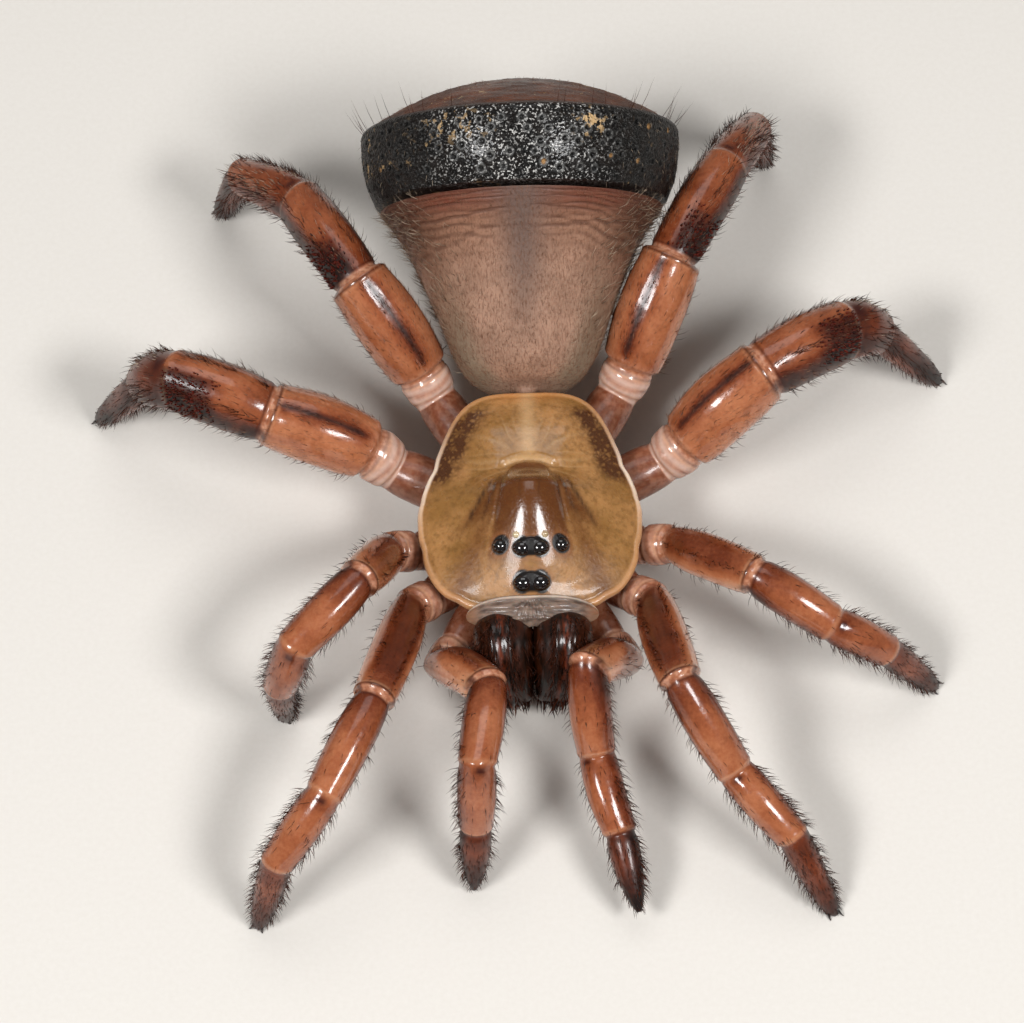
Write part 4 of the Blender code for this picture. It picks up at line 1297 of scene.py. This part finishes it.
def hollow(grid):
    """1 where a grid lies lower than the middle of its neighbours along the rows."""
    out, _, _ = facing(grid)
    reach = HOLLOW_REACH
    padded = np.concatenate([grid[:1].repeat(reach, 0), grid, grid[-1:].repeat(reach, 0)])
    around = (padded[2 * reach :] + padded[: -2 * reach]) / 2
    return np.clip(np.sum((around - grid) * out, axis=-1) / HOLLOW_DEPTH, 0, 1)


def make_abdomen(grid, material):
    row = np.linspace(0, 1, ABDOMEN_ROWS)[:, None]
    turn = angles(ABDOMEN_AROUND)[None, :]
    flank = np.abs(np.cos(turn))
    masks = {
        "back": row,
        "middle": hump(np.cos(turn), 0.0, 0.22) * (np.sin(turn) > 0),
        "flank": smooth(0.55, 0.9, flank) * smooth(0.75, 0.4, row) * smooth(0.1, 0.3, row),
        # Painted shade: the flanks darker towards the disc
        "side": smooth(0.60, 0.95, flank) * smooth(0.60, 0.85, row),
        # Painted shade in the hollows of the folds
        "fold_hollow_shade": hollow(grid) * smooth(0.62, 0.74, row),
    }
    loft("abdomen_hide", grid, material, masks, ["abdomen"])


abdomen_rows = abdomen_grid()
make_abdomen(abdomen_rows, abdomen_finish())
print("abdomen rings:", ABDOMEN_ROWS)

# %% [markdown]
# ## Shield of the abdomen
# The spider plugs its burrow with this disc. Its wall is black and beaten like old metal, with rows of
# round pits, each in a low ring. Its outer face is a brown dome. Pits this large catch the light as real
# hollows, so they are pressed into the mesh, and only the grain between them is bump. Silvery glints on the
# middle of the wall and on the rings are painted highlights.

# %% Shape the shield
SHIELD_TILT = math.radians(18.6)
SHIELD_CENTRE = np.array([0.0, 12.05, 6.25])
SHIELD_RADIUS = 5.0
SHIELD_FRONT_RADIUS = 4.58
SHIELD_WALL = 2.35
SHIELD_DOME = 1.5
RIM_ROUND = 0.22
SHIELD_AROUND = 720
PIT_ROWS = (0.46, 0.86, 1.24, 1.60, 1.94)
PIT_SPACING = 0.66
PIT_RADIUS = 0.098
PIT_SKIPPED = 0.22
PIT_JITTER = 0.22
PIT_DROP = 0.09
PIT_SIZES = (0.75, 1.15)
PIT_DEPTH = 0.060
PIT_TAN = 0.10
RING_HEIGHT = 0.018
GRAIN = 0.006
LUMP_HEIGHT = 0.010
LUMPS = ((5, 0.2), (9, 1.7), (17, 3.0))
WALL_TOP = -0.15
SHIELD_SEED = 5


def shield_profile():
    """Radius and height down the outside, from the top of the dome to the front edge of the wall."""
    flat = SHIELD_RADIUS - RIM_ROUND
    share = np.concatenate([[0.02], np.linspace(0.05, 1, 60)])
    dome = np.stack([flat * share, SHIELD_DOME * (1 - share**2.2)], axis=-1)
    lean = np.radians(np.linspace(8, 90, 12))
    rim = np.stack([flat + RIM_ROUND * np.sin(lean), -RIM_ROUND * (1 - np.cos(lean))], axis=-1)
    down = np.linspace(-RIM_ROUND - 0.04, -SHIELD_WALL, 56)
    front, rear = (-SHIELD_WALL, SHIELD_FRONT_RADIUS), (0, SHIELD_RADIUS)
    keys = (front, (-1.6, 4.86), (-0.8, SHIELD_RADIUS - 0.02), rear)
    wall = np.stack([curve(keys, down), down], axis=-1)
    tuck = [(SHIELD_FRONT_RADIUS - 0.06, -SHIELD_WALL - 0.02), (SHIELD_FRONT_RADIUS - 0.5, -SHIELD_WALL)]
    return np.concatenate([dome, rim, wall, tuck])


def shield_points():
    """The disc about its own axis, with pits, and masks for its finish."""
    profile = shield_profile()
    radius, height = profile[:, :1], profile[:, 1:]
    turn = angles(SHIELD_AROUND)[None, :]
    draw = np.random.default_rng(SHIELD_SEED)
    pit, ring, tan_pit = np.zeros((3, len(profile), SHIELD_AROUND))
    on_wall = height < WALL_TOP
    count = round(math.tau * SHIELD_RADIUS / PIT_SPACING)
    for row, down in enumerate(PIT_ROWS):
        for i in range(count):
            if draw.random() < PIT_SKIPPED:
                continue
            place = (i + 0.5 * (row % 2) + draw.uniform(-PIT_JITTER, PIT_JITTER)) * math.tau / count
            drop = down + draw.uniform(-PIT_DROP, PIT_DROP)
            size = PIT_RADIUS * draw.uniform(*PIT_SIZES)
            across = np.angle(np.exp(1j * (turn - place))) * SHIELD_RADIUS
            away = np.hypot(across, height + drop) / size
            hole = smooth(1.0, 0.55, away) * on_wall
            pit = np.maximum(pit, hole)
            ring = np.maximum(ring, hump(away, 1.25, 0.28) * on_wall)
            if draw.random() < PIT_TAN:
                tan_pit = np.maximum(tan_pit, hole)
    grains = draw.normal(0, GRAIN, pit.shape) * on_wall
    lumps = sum(np.sin(k * turn + p) * np.sin(k * radius * 0.9 + p) for k, p in LUMPS)
    dents = -PIT_DEPTH * pit + RING_HEIGHT * ring + grains + LUMP_HEIGHT * lumps * (height > 0)
    wide = radius + dents * on_wall
    plain = points_at(wide * np.cos(turn), wide * np.sin(turn), height + dents * ~on_wall)
    sideways = SHIELD_RADIUS * np.cos(turn)
    upper = np.sin(turn) > 0
    soil = hump(sideways, 2.2, 0.42) * hump(height, -0.62, 0.40)
    soil = soil + 0.55 * hump(sideways, -2.2, 0.9) * hump(height, -0.6, 0.45)
    masks = {
        "soil": soil * upper * on_wall,
        "wall": smooth(0.0, -0.12, height),
        "edge": hump(height, -0.04, 0.10) * (radius > SHIELD_RADIUS - 0.35),
        "pit": pit,
        "tan_pit": tan_pit,
        "ring": ring,
        # Where the painted glints and ring highlights are strongest: the middle of the wall's upper half
        "painted_glint_zone": smooth(0.74, 0.26, np.abs(np.cos(turn))) * upper,
    }
    return plain, masks


def tilt_shield(points):
    """From the disc's own axis to its place on the spider. Its axis points back and a little up."""
    x, up, out = np.moveaxis(points, -1, 0)
    y = SHIELD_CENTRE[1] + out * math.cos(SHIELD_TILT) - up * math.sin(SHIELD_TILT)
    z = SHIELD_CENTRE[2] + out * math.sin(SHIELD_TILT) + up * math.cos(SHIELD_TILT)
    return points_at(x, y, z)


def shield_finish():
    finish = Finish("shield_armour", Coat_Roughness=0.12, Specular_IOR_Level=0.2)
    wall, pit, painted_glint_zone, soil = (finish.mask(name) for name in ("wall", "pit", "painted_glint_zone", "soil"))
    speck = finish.noise(7.0, 3.0)
    brown = finish.mix(finish.noise(1.0, 4.0).step(0.35, 0.7), (70, 31, 11), (108, 53, 22))
    brown = finish.paint(brown, (speck.step(0.68, 0.73), 0.85, (214, 176, 124)))
    black = finish.mix(finish.noise(3.0, 4.0).step(0.35, 0.75), (3, 2, 2), (19, 12, 8))
    clumps = 0.45 + finish.noise(2.0, 3.0).step(0.40, 0.56)
    # Painted glints: silvery flecks, strongest in the middle of the wall
    painted_glints = (finish.noise(13.0, 3.0).step(0.56, 0.64) * clumps).clamp()
    crumbs = (finish.noise(4.2, 4.0) + soil * 0.12).step(0.60, 0.64)
    thin = finish.noise(0.55, 2.0).step(0.56, 0.64) * 0.6
    colour = finish.paint(
        finish.mix(wall, brown, black),
        ("edge", 0.8, (8, 6, 6)),
        (painted_glints * (wall - pit) * (0.06 + painted_glint_zone * 0.84), 1, (202, 200, 196)),
        ((soil * 1.4 + thin).clamp() * crumbs, 1, (200, 166, 120)),
        # Painted highlight on the rings around the pits
        (finish.mask("ring") * (0.06 + painted_glint_zone * 0.40), 1, (150, 150, 148)),
        (pit, 1, (4, 3, 3)),
        ("tan_pit", 0.85, (184, 140, 90)),
    )
    rough = 0.30 + (1 - wall) * 0.26 + speck * 0.12
    coarse = finish.bump(finish.noise(4.5, 3.0), 0.09, 1.0)
    beaten = finish.bump(finish.cells(12.0), 0.05, 1.0, coarse)
    return finish.set(Base_Color=colour, Roughness=rough, Coat_Weight=0.04 + painted_glint_zone * 0.25, Normal=beaten)


shield_plain, shield_masks = shield_points()
shield_grid = tilt_shield(shield_plain)
loft("shield_plate", shield_grid, shield_finish(), shield_masks, ["abdomen_shield"])
print("shield points:", shield_plain.shape)

# %% [markdown]
# ## Underside, spinnerets and claws
# The camera hardly sees these, but the model is looked at from all sides. The breastplate is a flat oval
# between the coxae. Two jointed spinnerets lie under the disc. Each foot ends in a pair of hooked claws.

# %% Shape the underside and the claws
STERNUM_HALF_LENGTH = 2.9
STERNUM_HALF_WIDTH = 1.9
STERNUM_BOTTOM_Z = 1.3
STERNUM_TOP_Z = 2.9
SPINNERET_X = 0.55
SPINNERET_X_STEP = 0.08
SPINNERET_AROUND = 32
SPINNERET_JOINTS = (1.0, 2.0)
# Rings of a spinneret: place along and above the body, and radius
SPINNERET_RINGS = ((10.25, 0.84, 0.24), (10.50, 0.66, 0.27), (11.10, 0.52, 0.23), (11.70, 0.50, 0.10))
SPINNERET_MASKS = {"back": 0.6, "middle": 0.0, "flank": 0.5, "side": 0.0, "fold_hollow_shade": 0.0}
# The two hooked claws of a foot and the short middle one: side and share of the full length
CLAWS = ((-1, 1.0), (1, 1.0), (0, 0.6))
CLAW_LENGTH = 0.42
CLAW_RADIUS = 0.075
CLAW_SPREAD = 0.10
CLAW_ROWS = 12
CLAW_AROUND = 10
STERNUM_ROWS = 40
STERNUM_AROUND = 96


def breast_finish():
    finish = Finish(
        "breastplate",
        Coat_Weight=0.5,
        Coat_Roughness=0.12,
        Subsurface_Weight=0.1,
        Subsurface_Scale=0.0005,
    )
    cloud = finish.noise(1.5, 4.0)
    colour = finish.mix(cloud.step(0.35, 0.7), (176, 112, 78), (132, 78, 52))
    return finish.set(Base_Color=colour, Roughness=0.3 + cloud * 0.2, Normal=chitin_bump(finish))


def make_sternum(material):
    lean = np.linspace(0.06, math.pi / 2, STERNUM_ROWS)[:, None]
    turn = angles(STERNUM_AROUND)[None, :]
    size = np.sin(lean) ** 0.55
    lobes = 1 - 0.05 * np.abs(np.sin(4 * turn)) ** 0.5 * np.sin(lean)
    x = STERNUM_HALF_WIDTH * size * lobes * np.cos(turn)
    y = CARAPACE_MIDDLE_Y + STERNUM_HALF_LENGTH * size * lobes * np.sin(turn)
    z = STERNUM_BOTTOM_Z + (STERNUM_TOP_Z - STERNUM_BOTTOM_Z) * (1 - np.cos(lean))
    loft("sternum_plate", points_at(x, y, z), material, replaced=["sternum_and_coxae"])


def make_spinnerets(material):
    tubes = paired_tubes(SPINNERET_RINGS, SPINNERET_X, SPINNERET_X_STEP, SPINNERET_AROUND, SPINNERET_JOINTS)
    for word, grid in tubes:
        name = f"spinneret_{word}"
        loft(f"{name}_skin", grid, material, SPINNERET_MASKS, [name])


def make_claws(one, material):
    ahead, up = one.ahead, one.up
    side = np.cross(ahead, up)
    t = np.linspace(0, 1, CLAW_ROWS)[:, None]
    points, faces = [], []
    for turn, length in CLAWS:
        root = one.path[-1] - ahead * 0.28 + side * CLAW_SPREAD * turn + up * 0.06
        rise = up * (0.75 * t - 0.55 * t**2) + ahead * (0.35 * t + 0.62 * t**2) + side * 0.30 * turn * t
        path = root + rise * CLAW_LENGTH * length
        path[:, 2] = np.maximum(path[:, 2], CLAW_RADIUS * 0.5)
        grid = tube_grid(path, CLAW_RADIUS * (1.02 - t[:, 0]) ** 0.7, CLAW_AROUND)
        grid[:, :, 2] = np.maximum(grid[:, :, 2], LEAST_Z)
        offset = sum(len(group) for group in points)
        points.append(skin_points(grid))
        faces += [group + offset for group in skin_faces(CLAW_ROWS, CLAW_AROUND)]
    piece(f"{one.name}_claws", np.concatenate(points), faces, material)


make_sternum(breast_finish())
make_spinnerets(bpy.data.materials["abdomen_skin"])
for one in limbs.values():
    if one.limb != "palp":
        make_claws(one, fang_horn)
print("underside and claws made")

# %% [markdown]
# ## Hairs and bristles
# Bristles give the spider its rough outline: short and dense on the feet, in fringes along the sides of the
# legs, fine and lying flat on the abdomen, long and thin around the shield's rim. Particle hair would be
# quick to add but isn't kept when a model is exported, so each hair is a real, closed, three-sided spike
# with one bend. `Coat` draws roots on a skin with a density for each kind of hair. Its draws are seeded.

# %% Grow hairs on a skin
SINK = 0.02
CURL = 0.3
PATCH = 0.003
PATCH_PLACES = np.array([(0, 0), (0.5, 0), (1, 0), (0, 0.5), (0.5, 0.5), (1, 0.5), (0.5, 1)]) * PATCH
SPIKE_POINTS = 7
SPIKE_SIDES = np.array([(0, 1, 4, 3), (1, 2, 5, 4), (2, 0, 3, 5)])
SPIKE_ENDS = np.array([(0, 2, 1), (3, 4, 6), (4, 5, 6), (5, 3, 6)])
LEAST_HAIR_Z = 0.015
LEAST_ROOT_Z = 0.04


class Coat:
    """Hairs of one piece, gathered kind by kind."""

    def __init__(self, name, seed):
        self.name = name
        self.draw = np.random.default_rng(seed)
        self.points, self.patches, self.shades = [], [], []

    def grow(self, grid, density, length, radius, lift, along=1.0, around=0.0, wild=0.25, even=0.25):
        """Adds hairs, with a density per square millimetre. Lift stands them up, along lays them down."""
        shape = grid.shape[:2]
        out, down, across = facing(grid)
        step_a = np.linalg.norm(np.gradient(grid, axis=0), axis=-1)
        step_b = np.linalg.norm(np.roll(grid, -1, axis=1) - grid, axis=-1)
        wanted = (step_a * step_b * density).ravel()
        count = int(round(wanted.sum()))
        if count < 1:
            return
        cell = self.draw.choice(len(wanted), count, p=wanted / wanted.sum())
        row, column = np.divmod(cell, shape[1])
        row = np.minimum(row, shape[0] - 2)
        next_column = (column + 1) % shape[1]
        a, b = self.draw.random((2, count, 1))
        low = grid[row, column] * (1 - b) + grid[row, next_column] * b
        high = grid[row + 1, column] * (1 - b) + grid[row + 1, next_column] * b
        root = low * (1 - a) + high * a
        fields = (lift, along, around, length)
        fields = [np.broadcast_to(value, shape)[row, column][:, None] for value in fields]
        way = out[row, column] * fields[0] + down[row, column] * fields[1] + across[row, column] * fields[2]
        way = unit(way + self.draw.normal(0, wild, (count, 3)))
        size = fields[3] * self.draw.uniform(1 - 1.6 * even, 1 + 0.8 * even, (count, 1))
        thick = radius * self.draw.uniform(0.75, 1.2, (count, 1))
        bend = (down[row, column] * 0.6 - out[row, column] * 0.5) * CURL * size
        at = np.concatenate([(column[:, None] + b) / shape[1], (row[:, None] + a) / shape[0]], axis=1)
        self.add(root, way, size, thick, bend, at)

    def add(self, root, way, size, thick, bend, at):
        """Adds hairs whose roots and directions are known."""
        side = unit(np.cross(way, self.draw.normal(0, 1, way.shape)))
        over = np.cross(way, side)
        middle = root + way * size * 0.5 + bend * 0.25
        foot = root - way * SINK
        spike = np.empty((len(root), SPIKE_POINTS, 3))
        for i, turn in enumerate(angles(3)):
            ring = (side * math.cos(turn) + over * math.sin(turn)) * thick
            spike[:, i] = foot + ring
            spike[:, 3 + i] = middle + ring * 0.75
        spike[:, 6] = root + way * size + bend
        spike[..., 2] = np.maximum(spike[..., 2], LEAST_HAIR_Z)
        keep = (root[:, 2] > LEAST_ROOT_Z) & (spike[:, :3, 2].max(axis=1) > LEAST_HAIR_Z)
        spike, at = spike[keep], at[keep]
        self.points.append(spike.reshape(-1, 3))
        self.patches.append((at[:, None] * 0.99 + PATCH_PLACES).reshape(-1, 2))
        self.shades.append(np.repeat(self.draw.random(len(spike)), SPIKE_POINTS))

    def make(self, material):
        """Makes the piece and says how many hairs it has."""
        points = np.concatenate(self.points)
        first = np.arange(len(points) // SPIKE_POINTS)[:, None, None] * SPIKE_POINTS
        faces = [(first + SPIKE_SIDES).reshape(-1, 4), (first + SPIKE_ENDS).reshape(-1, 3)]
        masks = {"shade": np.concatenate(self.shades)}
        piece(self.name, points, faces, material, masks, patches=np.concatenate(self.patches))
        return len(first)


def make_coat(name, seed, material, *fields):
    """A coat of hair from one or more fields: a grid, a density, a length and a kind of hair."""
    coat = Coat(name, seed)
    for grid, density, length, kind in fields:
        coat.grow(grid, density, length, **kind)
    return coat.make(material)


def hair_finish(name, dark, light, roughness):
    finish = Finish(name, Specular_IOR_Level=0.22)
    shade = (finish.mask("shade") + (finish.noise(6.0) - 0.5) * 0.3).clamp()
    return finish.set(Base_Color=finish.mix(shade, dark, light), Roughness=roughness + shade * 0.2)


black_hair = hair_finish("black_bristle", (20, 9, 5), (86, 38, 17), 0.32)
fine_hair = hair_finish("fine_dark_hair", (100, 68, 50), (168, 124, 98), 0.5)
silver_hair = hair_finish("silver_hair", (104, 84, 68), (184, 164, 142), 0.35)
spinule_horn = hair_finish("spinule_horn", (34, 9, 5), (96, 28, 14), 0.25)
print("coat helpers ready")

# %% Bristles of the limbs
# Hairs per square millimetre, and their length in millimetres, on femur, patella, tibia and foot
FRINGE = (7.0, 20.0, 58.0, 90.0)
FRINGE_LENGTH = (0.30, 0.38, 0.44, 0.42)
COVER = (2.0, 3.0, 9.0, 42.0)
COVER_LENGTH = (0.20, 0.22, 0.24, 0.22)
BELLY = (6.0, 12.0, 24.0, 36.0)
BELLY_LENGTH = (0.38, 0.36, 0.34, 0.30)
FUZZ = (34.0, 26.0, 0.0, 0.0)
FUZZ_LENGTH = 0.20
SILVER = (0.0, 2.0, 48.0, 8.0)
SILVER_LENGTH = 0.24
HIND_FRINGE = 0.55
CREST = 1.3 * 26.0
CREST_LENGTH = 0.16
HIND_COMB = 2.2 * 26.0
HIND_COMB_LENGTH = 0.46
FRONT_COMB = 4.0 * 26.0
FRONT_COMB_LENGTH = 0.27
SPINULES = 130.0
SPINULE_LENGTH = 0.11
# Each kind's thickness, lift from the skin, lean along the limb and, where it isn't the usual, wildness
FRINGE_HAIR = {"radius": 0.011, "lift": 0.9, "along": 0.75}
COVER_HAIR = {"radius": 0.009, "lift": 0.42, "wild": 0.18}
BELLY_HAIR = {"radius": 0.011, "lift": 0.9, "along": 0.6}
CREST_HAIR = {"radius": 0.009, "lift": 0.35, "wild": 0.15}
HIND_COMB_HAIR = {"radius": 0.012, "lift": 0.55, "along": 0.9}
FRONT_COMB_HAIR = {"radius": 0.011, "lift": 0.9, "along": 0.6, "wild": 0.22}
FUZZ_HAIR = {"radius": 0.0048, "lift": 0.45, "wild": 0.2}
SILVER_HAIR = {"radius": 0.008, "lift": 0.5}
SPINULE = {"radius": 0.032, "lift": 1.2, "along": 0.7, "wild": 0.12, "even": 0.15}
FIRST_LIMB_SEED = 11
SILVER_SEED, SPINULE_SEED, FUZZ_SEED = 100, 200, 300


def by_segment(one, values):
    """A value for each ring from one for each of the last four segments."""
    return np.array([0.0, 0.0, *values])[one.segment]


def make_limb_coat(one, seed):
    i, t, dorsal, front = one.segment, one.share, one.dorsal, one.front
    hard = (1 - smooth(0.18, 0.08, one.near) * (i > FEMUR)) * (1 - smooth(0.16, 0.08, one.far) * (i < FOOT))
    toward_tip = 1 + (0.0 if one.hind else 0.6) * smooth(0.3, 0.9, t) * (i == FOOT)
    shrink = 1 - 0.45 * smooth(0.5, 1.0, t) * (i == FOOT)
    side = hump(dorsal, -0.05, 0.42) * hard * toward_tip * (HIND_FRINGE if one.hind else 1)
    over = smooth(-0.2, 0.5, dorsal) * hard * toward_tip
    cover = by_segment(one, COVER) * over * (1 - 0.5 * one.hind * (i == FOOT))
    under = smooth(0.1, -0.5, dorsal) * hard
    fields = [
        (one.grid, by_segment(one, FRINGE) * side, by_segment(one, FRINGE_LENGTH) * shrink, FRINGE_HAIR),
        (one.grid, cover, by_segment(one, COVER_LENGTH) * shrink, COVER_HAIR),
        (one.grid, by_segment(one, BELLY) * under, by_segment(one, BELLY_LENGTH) * shrink, BELLY_HAIR),
    ]
    if one.hind:
        crest = hump(dorsal, 1.0, 0.03) * (i == FEMUR) * hard * smooth(0.03, 0.12, t)
        rows = hump(dorsal, 0.80, 0.06) * (i == PATELLA) + 1.3 * hump(dorsal, 0.6, 0.25) * (i == TIBIA)
        fields.append((one.grid, CREST * crest, CREST_LENGTH, CREST_HAIR))
        fields.append((one.grid, HIND_COMB * rows * hard, HIND_COMB_LENGTH, HIND_COMB_HAIR))
    else:
        comb = hump(dorsal, 0.88, 0.05) * (front > 0) + 0.7 * hump(dorsal, 0.80, 0.06) * (front < 0)
        comb = comb * (i == FEMUR)
        fields.append((one.grid, FRONT_COMB * comb * hard, FRONT_COMB_LENGTH, FRONT_COMB_HAIR))
    count = make_coat(f"{one.name}_bristles", seed, black_hair, *fields)
    if one.hind:
        down = by_segment(one, FUZZ) * smooth(-0.6, -0.1, dorsal) * hard
        patch = hump(front, 0.55 if one.limb == "leg4" else -0.5, 0.35)
        grey = by_segment(one, SILVER) * smooth(-0.1, 0.4, dorsal) * hard * (0.12 + patch)
        spines = SPINULES * (spinule_field(one) * (i == PATELLA) * hard)
        for kind, shift, material, field in (
            ("fuzz", FUZZ_SEED, fine_hair, (one.grid, down, FUZZ_LENGTH, FUZZ_HAIR)),
            ("silver", SILVER_SEED, silver_hair, (one.grid, grey, SILVER_LENGTH, SILVER_HAIR)),
            ("spinules", SPINULE_SEED, spinule_horn, (one.grid, spines, SPINULE_LENGTH, SPINULE)),
        ):
            make_coat(f"{one.name}_{kind}", seed + shift, material, field)
    return count


counts = [make_limb_coat(one, seed) for seed, one in enumerate(limbs.values(), start=FIRST_LIMB_SEED)]
print("bristles on the limbs:", sum(counts))

# %% Bristles of the body
# Hairs per square millimetre, and their length in millimetres
ABDOMEN_DOWN, DOWN_LENGTH = 125.0, 0.17
ABDOMEN_FRINGE, ABDOMEN_FRINGE_LENGTH = 22.0, 0.46
WALL_COVER, WALL_LENGTH = 8.0, 0.20
DOME_COVER, DOME_LENGTH = 6.0, 0.14
JAW_RIDGE, JAW_RIDGE_LENGTH = 150.0, 0.30
JAW_COVER, JAW_COVER_LENGTH = 26.0, 0.32
JAW_RAKE, JAW_RAKE_LENGTH = 40.0, 0.46
ABDOMEN_HAIR = {"radius": 0.0042, "lift": 0.30}
ABDOMEN_SIDE_HAIR = {"radius": 0.010, "lift": 0.9, "along": 0.9, "wild": 0.35}
SHIELD_SIDE_HAIR = {"radius": 0.006, "lift": 0.5, "along": 0.9, "wild": 0.35}
SHIELD_DOME_HAIR = {"radius": 0.006, "lift": 0.6, "along": 0.7, "wild": 0.4}
JAW_RIDGE_HAIR = {"radius": 0.013, "lift": 0.6, "along": 0.9}
JAW_SIDE_HAIR = {"radius": 0.012, "lift": 0.7, "along": 0.8}
JAW_SPINE = {"radius": 0.030, "lift": 0.75, "along": 0.9, "wild": 0.2}
BODY_SEEDS = {"abdomen": 41, "abdomen_side": 42, "shield_side": 43, "shield_dome": 44, "shield_rim": 45}
JAW_SEEDS = {"left": 47, "right": 46}
RIM_HAIRS = 52
RIM_HAIR_RADIUS = 0.010


def abdomen_coats():
    """Fine down that parts along the back, and longer silvery hairs at the sides."""
    row = np.linspace(0, 1, ABDOMEN_ROWS)[:, None]
    turn = angles(ABDOMEN_AROUND)[None, :]
    flank = np.abs(np.cos(turn))
    inside = smooth(0.06, 0.14, row) * smooth(0.99, 0.96, row)
    down = {**ABDOMEN_HAIR, "around": smooth(0.0, 0.4, flank) * np.sign(np.cos(turn)) * 0.25}
    dense = ABDOMEN_DOWN * inside * (0.25 + 0.75 * smooth(-0.5, 0.1, np.sin(turn)))
    edge = smooth(0.55, 0.9, flank) * smooth(0.3, 0.8, row) * inside
    short_hairs = (abdomen_rows, dense, DOWN_LENGTH, down)
    long_hairs = (abdomen_rows, ABDOMEN_FRINGE * edge, ABDOMEN_FRINGE_LENGTH, ABDOMEN_SIDE_HAIR)
    return [
        make_coat("abdomen_hairs", BODY_SEEDS["abdomen"], fine_hair, short_hairs),
        make_coat("abdomen_side_hairs", BODY_SEEDS["abdomen_side"], silver_hair, long_hairs),
    ]


def shield_coats():
    """Short hairs on the wall's sides and the dome, and a row of long ones around the rim."""
    height = shield_plain[:, :, 2]
    turn = angles(SHIELD_AROUND)[None, :]
    sides = (height < -0.25) * smooth(0.5, 0.85, np.abs(np.cos(turn)))
    wall = (shield_grid, WALL_COVER * sides, WALL_LENGTH, SHIELD_SIDE_HAIR)
    dome = (shield_grid, DOME_COVER * (height > 0.02), DOME_LENGTH, SHIELD_DOME_HAIR)
    return [
        make_coat("shield_side_hairs", BODY_SEEDS["shield_side"], silver_hair, wall),
        make_coat("shield_dome_hairs", BODY_SEEDS["shield_dome"], fine_hair, dome),
        rim_coat(),
    ]


def rim_coat():
    rim = Coat("shield_rim_hairs", BODY_SEEDS["shield_rim"])
    draw = rim.draw
    around = np.sort(draw.random(RIM_HAIRS)) * math.tau
    place = SHIELD_RADIUS - RIM_ROUND * draw.uniform(0.2, 1.6, RIM_HAIRS)
    roots = points_at(place * np.cos(around), place * np.sin(around), -0.02)
    ways = points_at(0.55 * np.cos(around), 0.55 * np.sin(around), 0.8)
    ends = tilt_shield(roots + unit(ways + draw.normal(0, 0.15, ways.shape)))
    roots = tilt_shield(roots)
    length = draw.uniform(0.5, 1.1, (RIM_HAIRS, 1))
    bend = np.array([[0.0, 0.15, 0.2]]) * length
    at = np.stack([around / math.tau, np.full(RIM_HAIRS, 0.4)], axis=-1)
    rim.add(roots, unit(ends - roots), length, np.full((RIM_HAIRS, 1), RIM_HAIR_RADIUS), bend, at)
    return rim.make(black_hair)


def jaw_coats():
    """Rows of bristles along the ridges, scattered ones at the sides and stout spines in front."""
    row = np.linspace(0, 1, JAW_ROWS)[:, None]
    turn = angles(JAW_AROUND)[None, :]
    up = np.sin(turn)
    counts = []
    for word, side in SIDES.items():
        grid, across = jaw_grids[word], side * np.cos(turn)
        rows = hump(across, -0.30, 0.10) + hump(across, 0.34, 0.12) + 0.6 * hump(across, 0.70, 0.10)
        high = (up > 0) * smooth(0.10, 0.2, row) * smooth(0.99, 0.93, row)
        scattered = JAW_COVER * smooth(-0.6, 0.0, up) * smooth(0.15, 0.4, row)
        rake = JAW_RAKE * smooth(0.72, 0.84, row) * smooth(-0.5, 0.1, up)
        fields = (
            (grid, JAW_RIDGE * rows * high, JAW_RIDGE_LENGTH, JAW_RIDGE_HAIR),
            (grid, scattered, JAW_COVER_LENGTH, JAW_SIDE_HAIR),
            (grid, rake, JAW_RAKE_LENGTH, JAW_SPINE),
        )
        counts.append(make_coat(f"jaw_{word}_bristles", JAW_SEEDS[word], black_hair, *fields))
    return counts


body_counts = abdomen_coats() + shield_coats() + jaw_coats()
print("hairs on the body:", body_counts)

# %% [markdown]
# ## Sizes
# The box of the finished model is set beside that of the imported one, so that the two can be compared.

# %% Work out the sizes
boxes = {"cad": cad_box, "visual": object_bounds()}
{name: [[float(v) for v in corner] for corner in box] for name, box in boxes.items()}
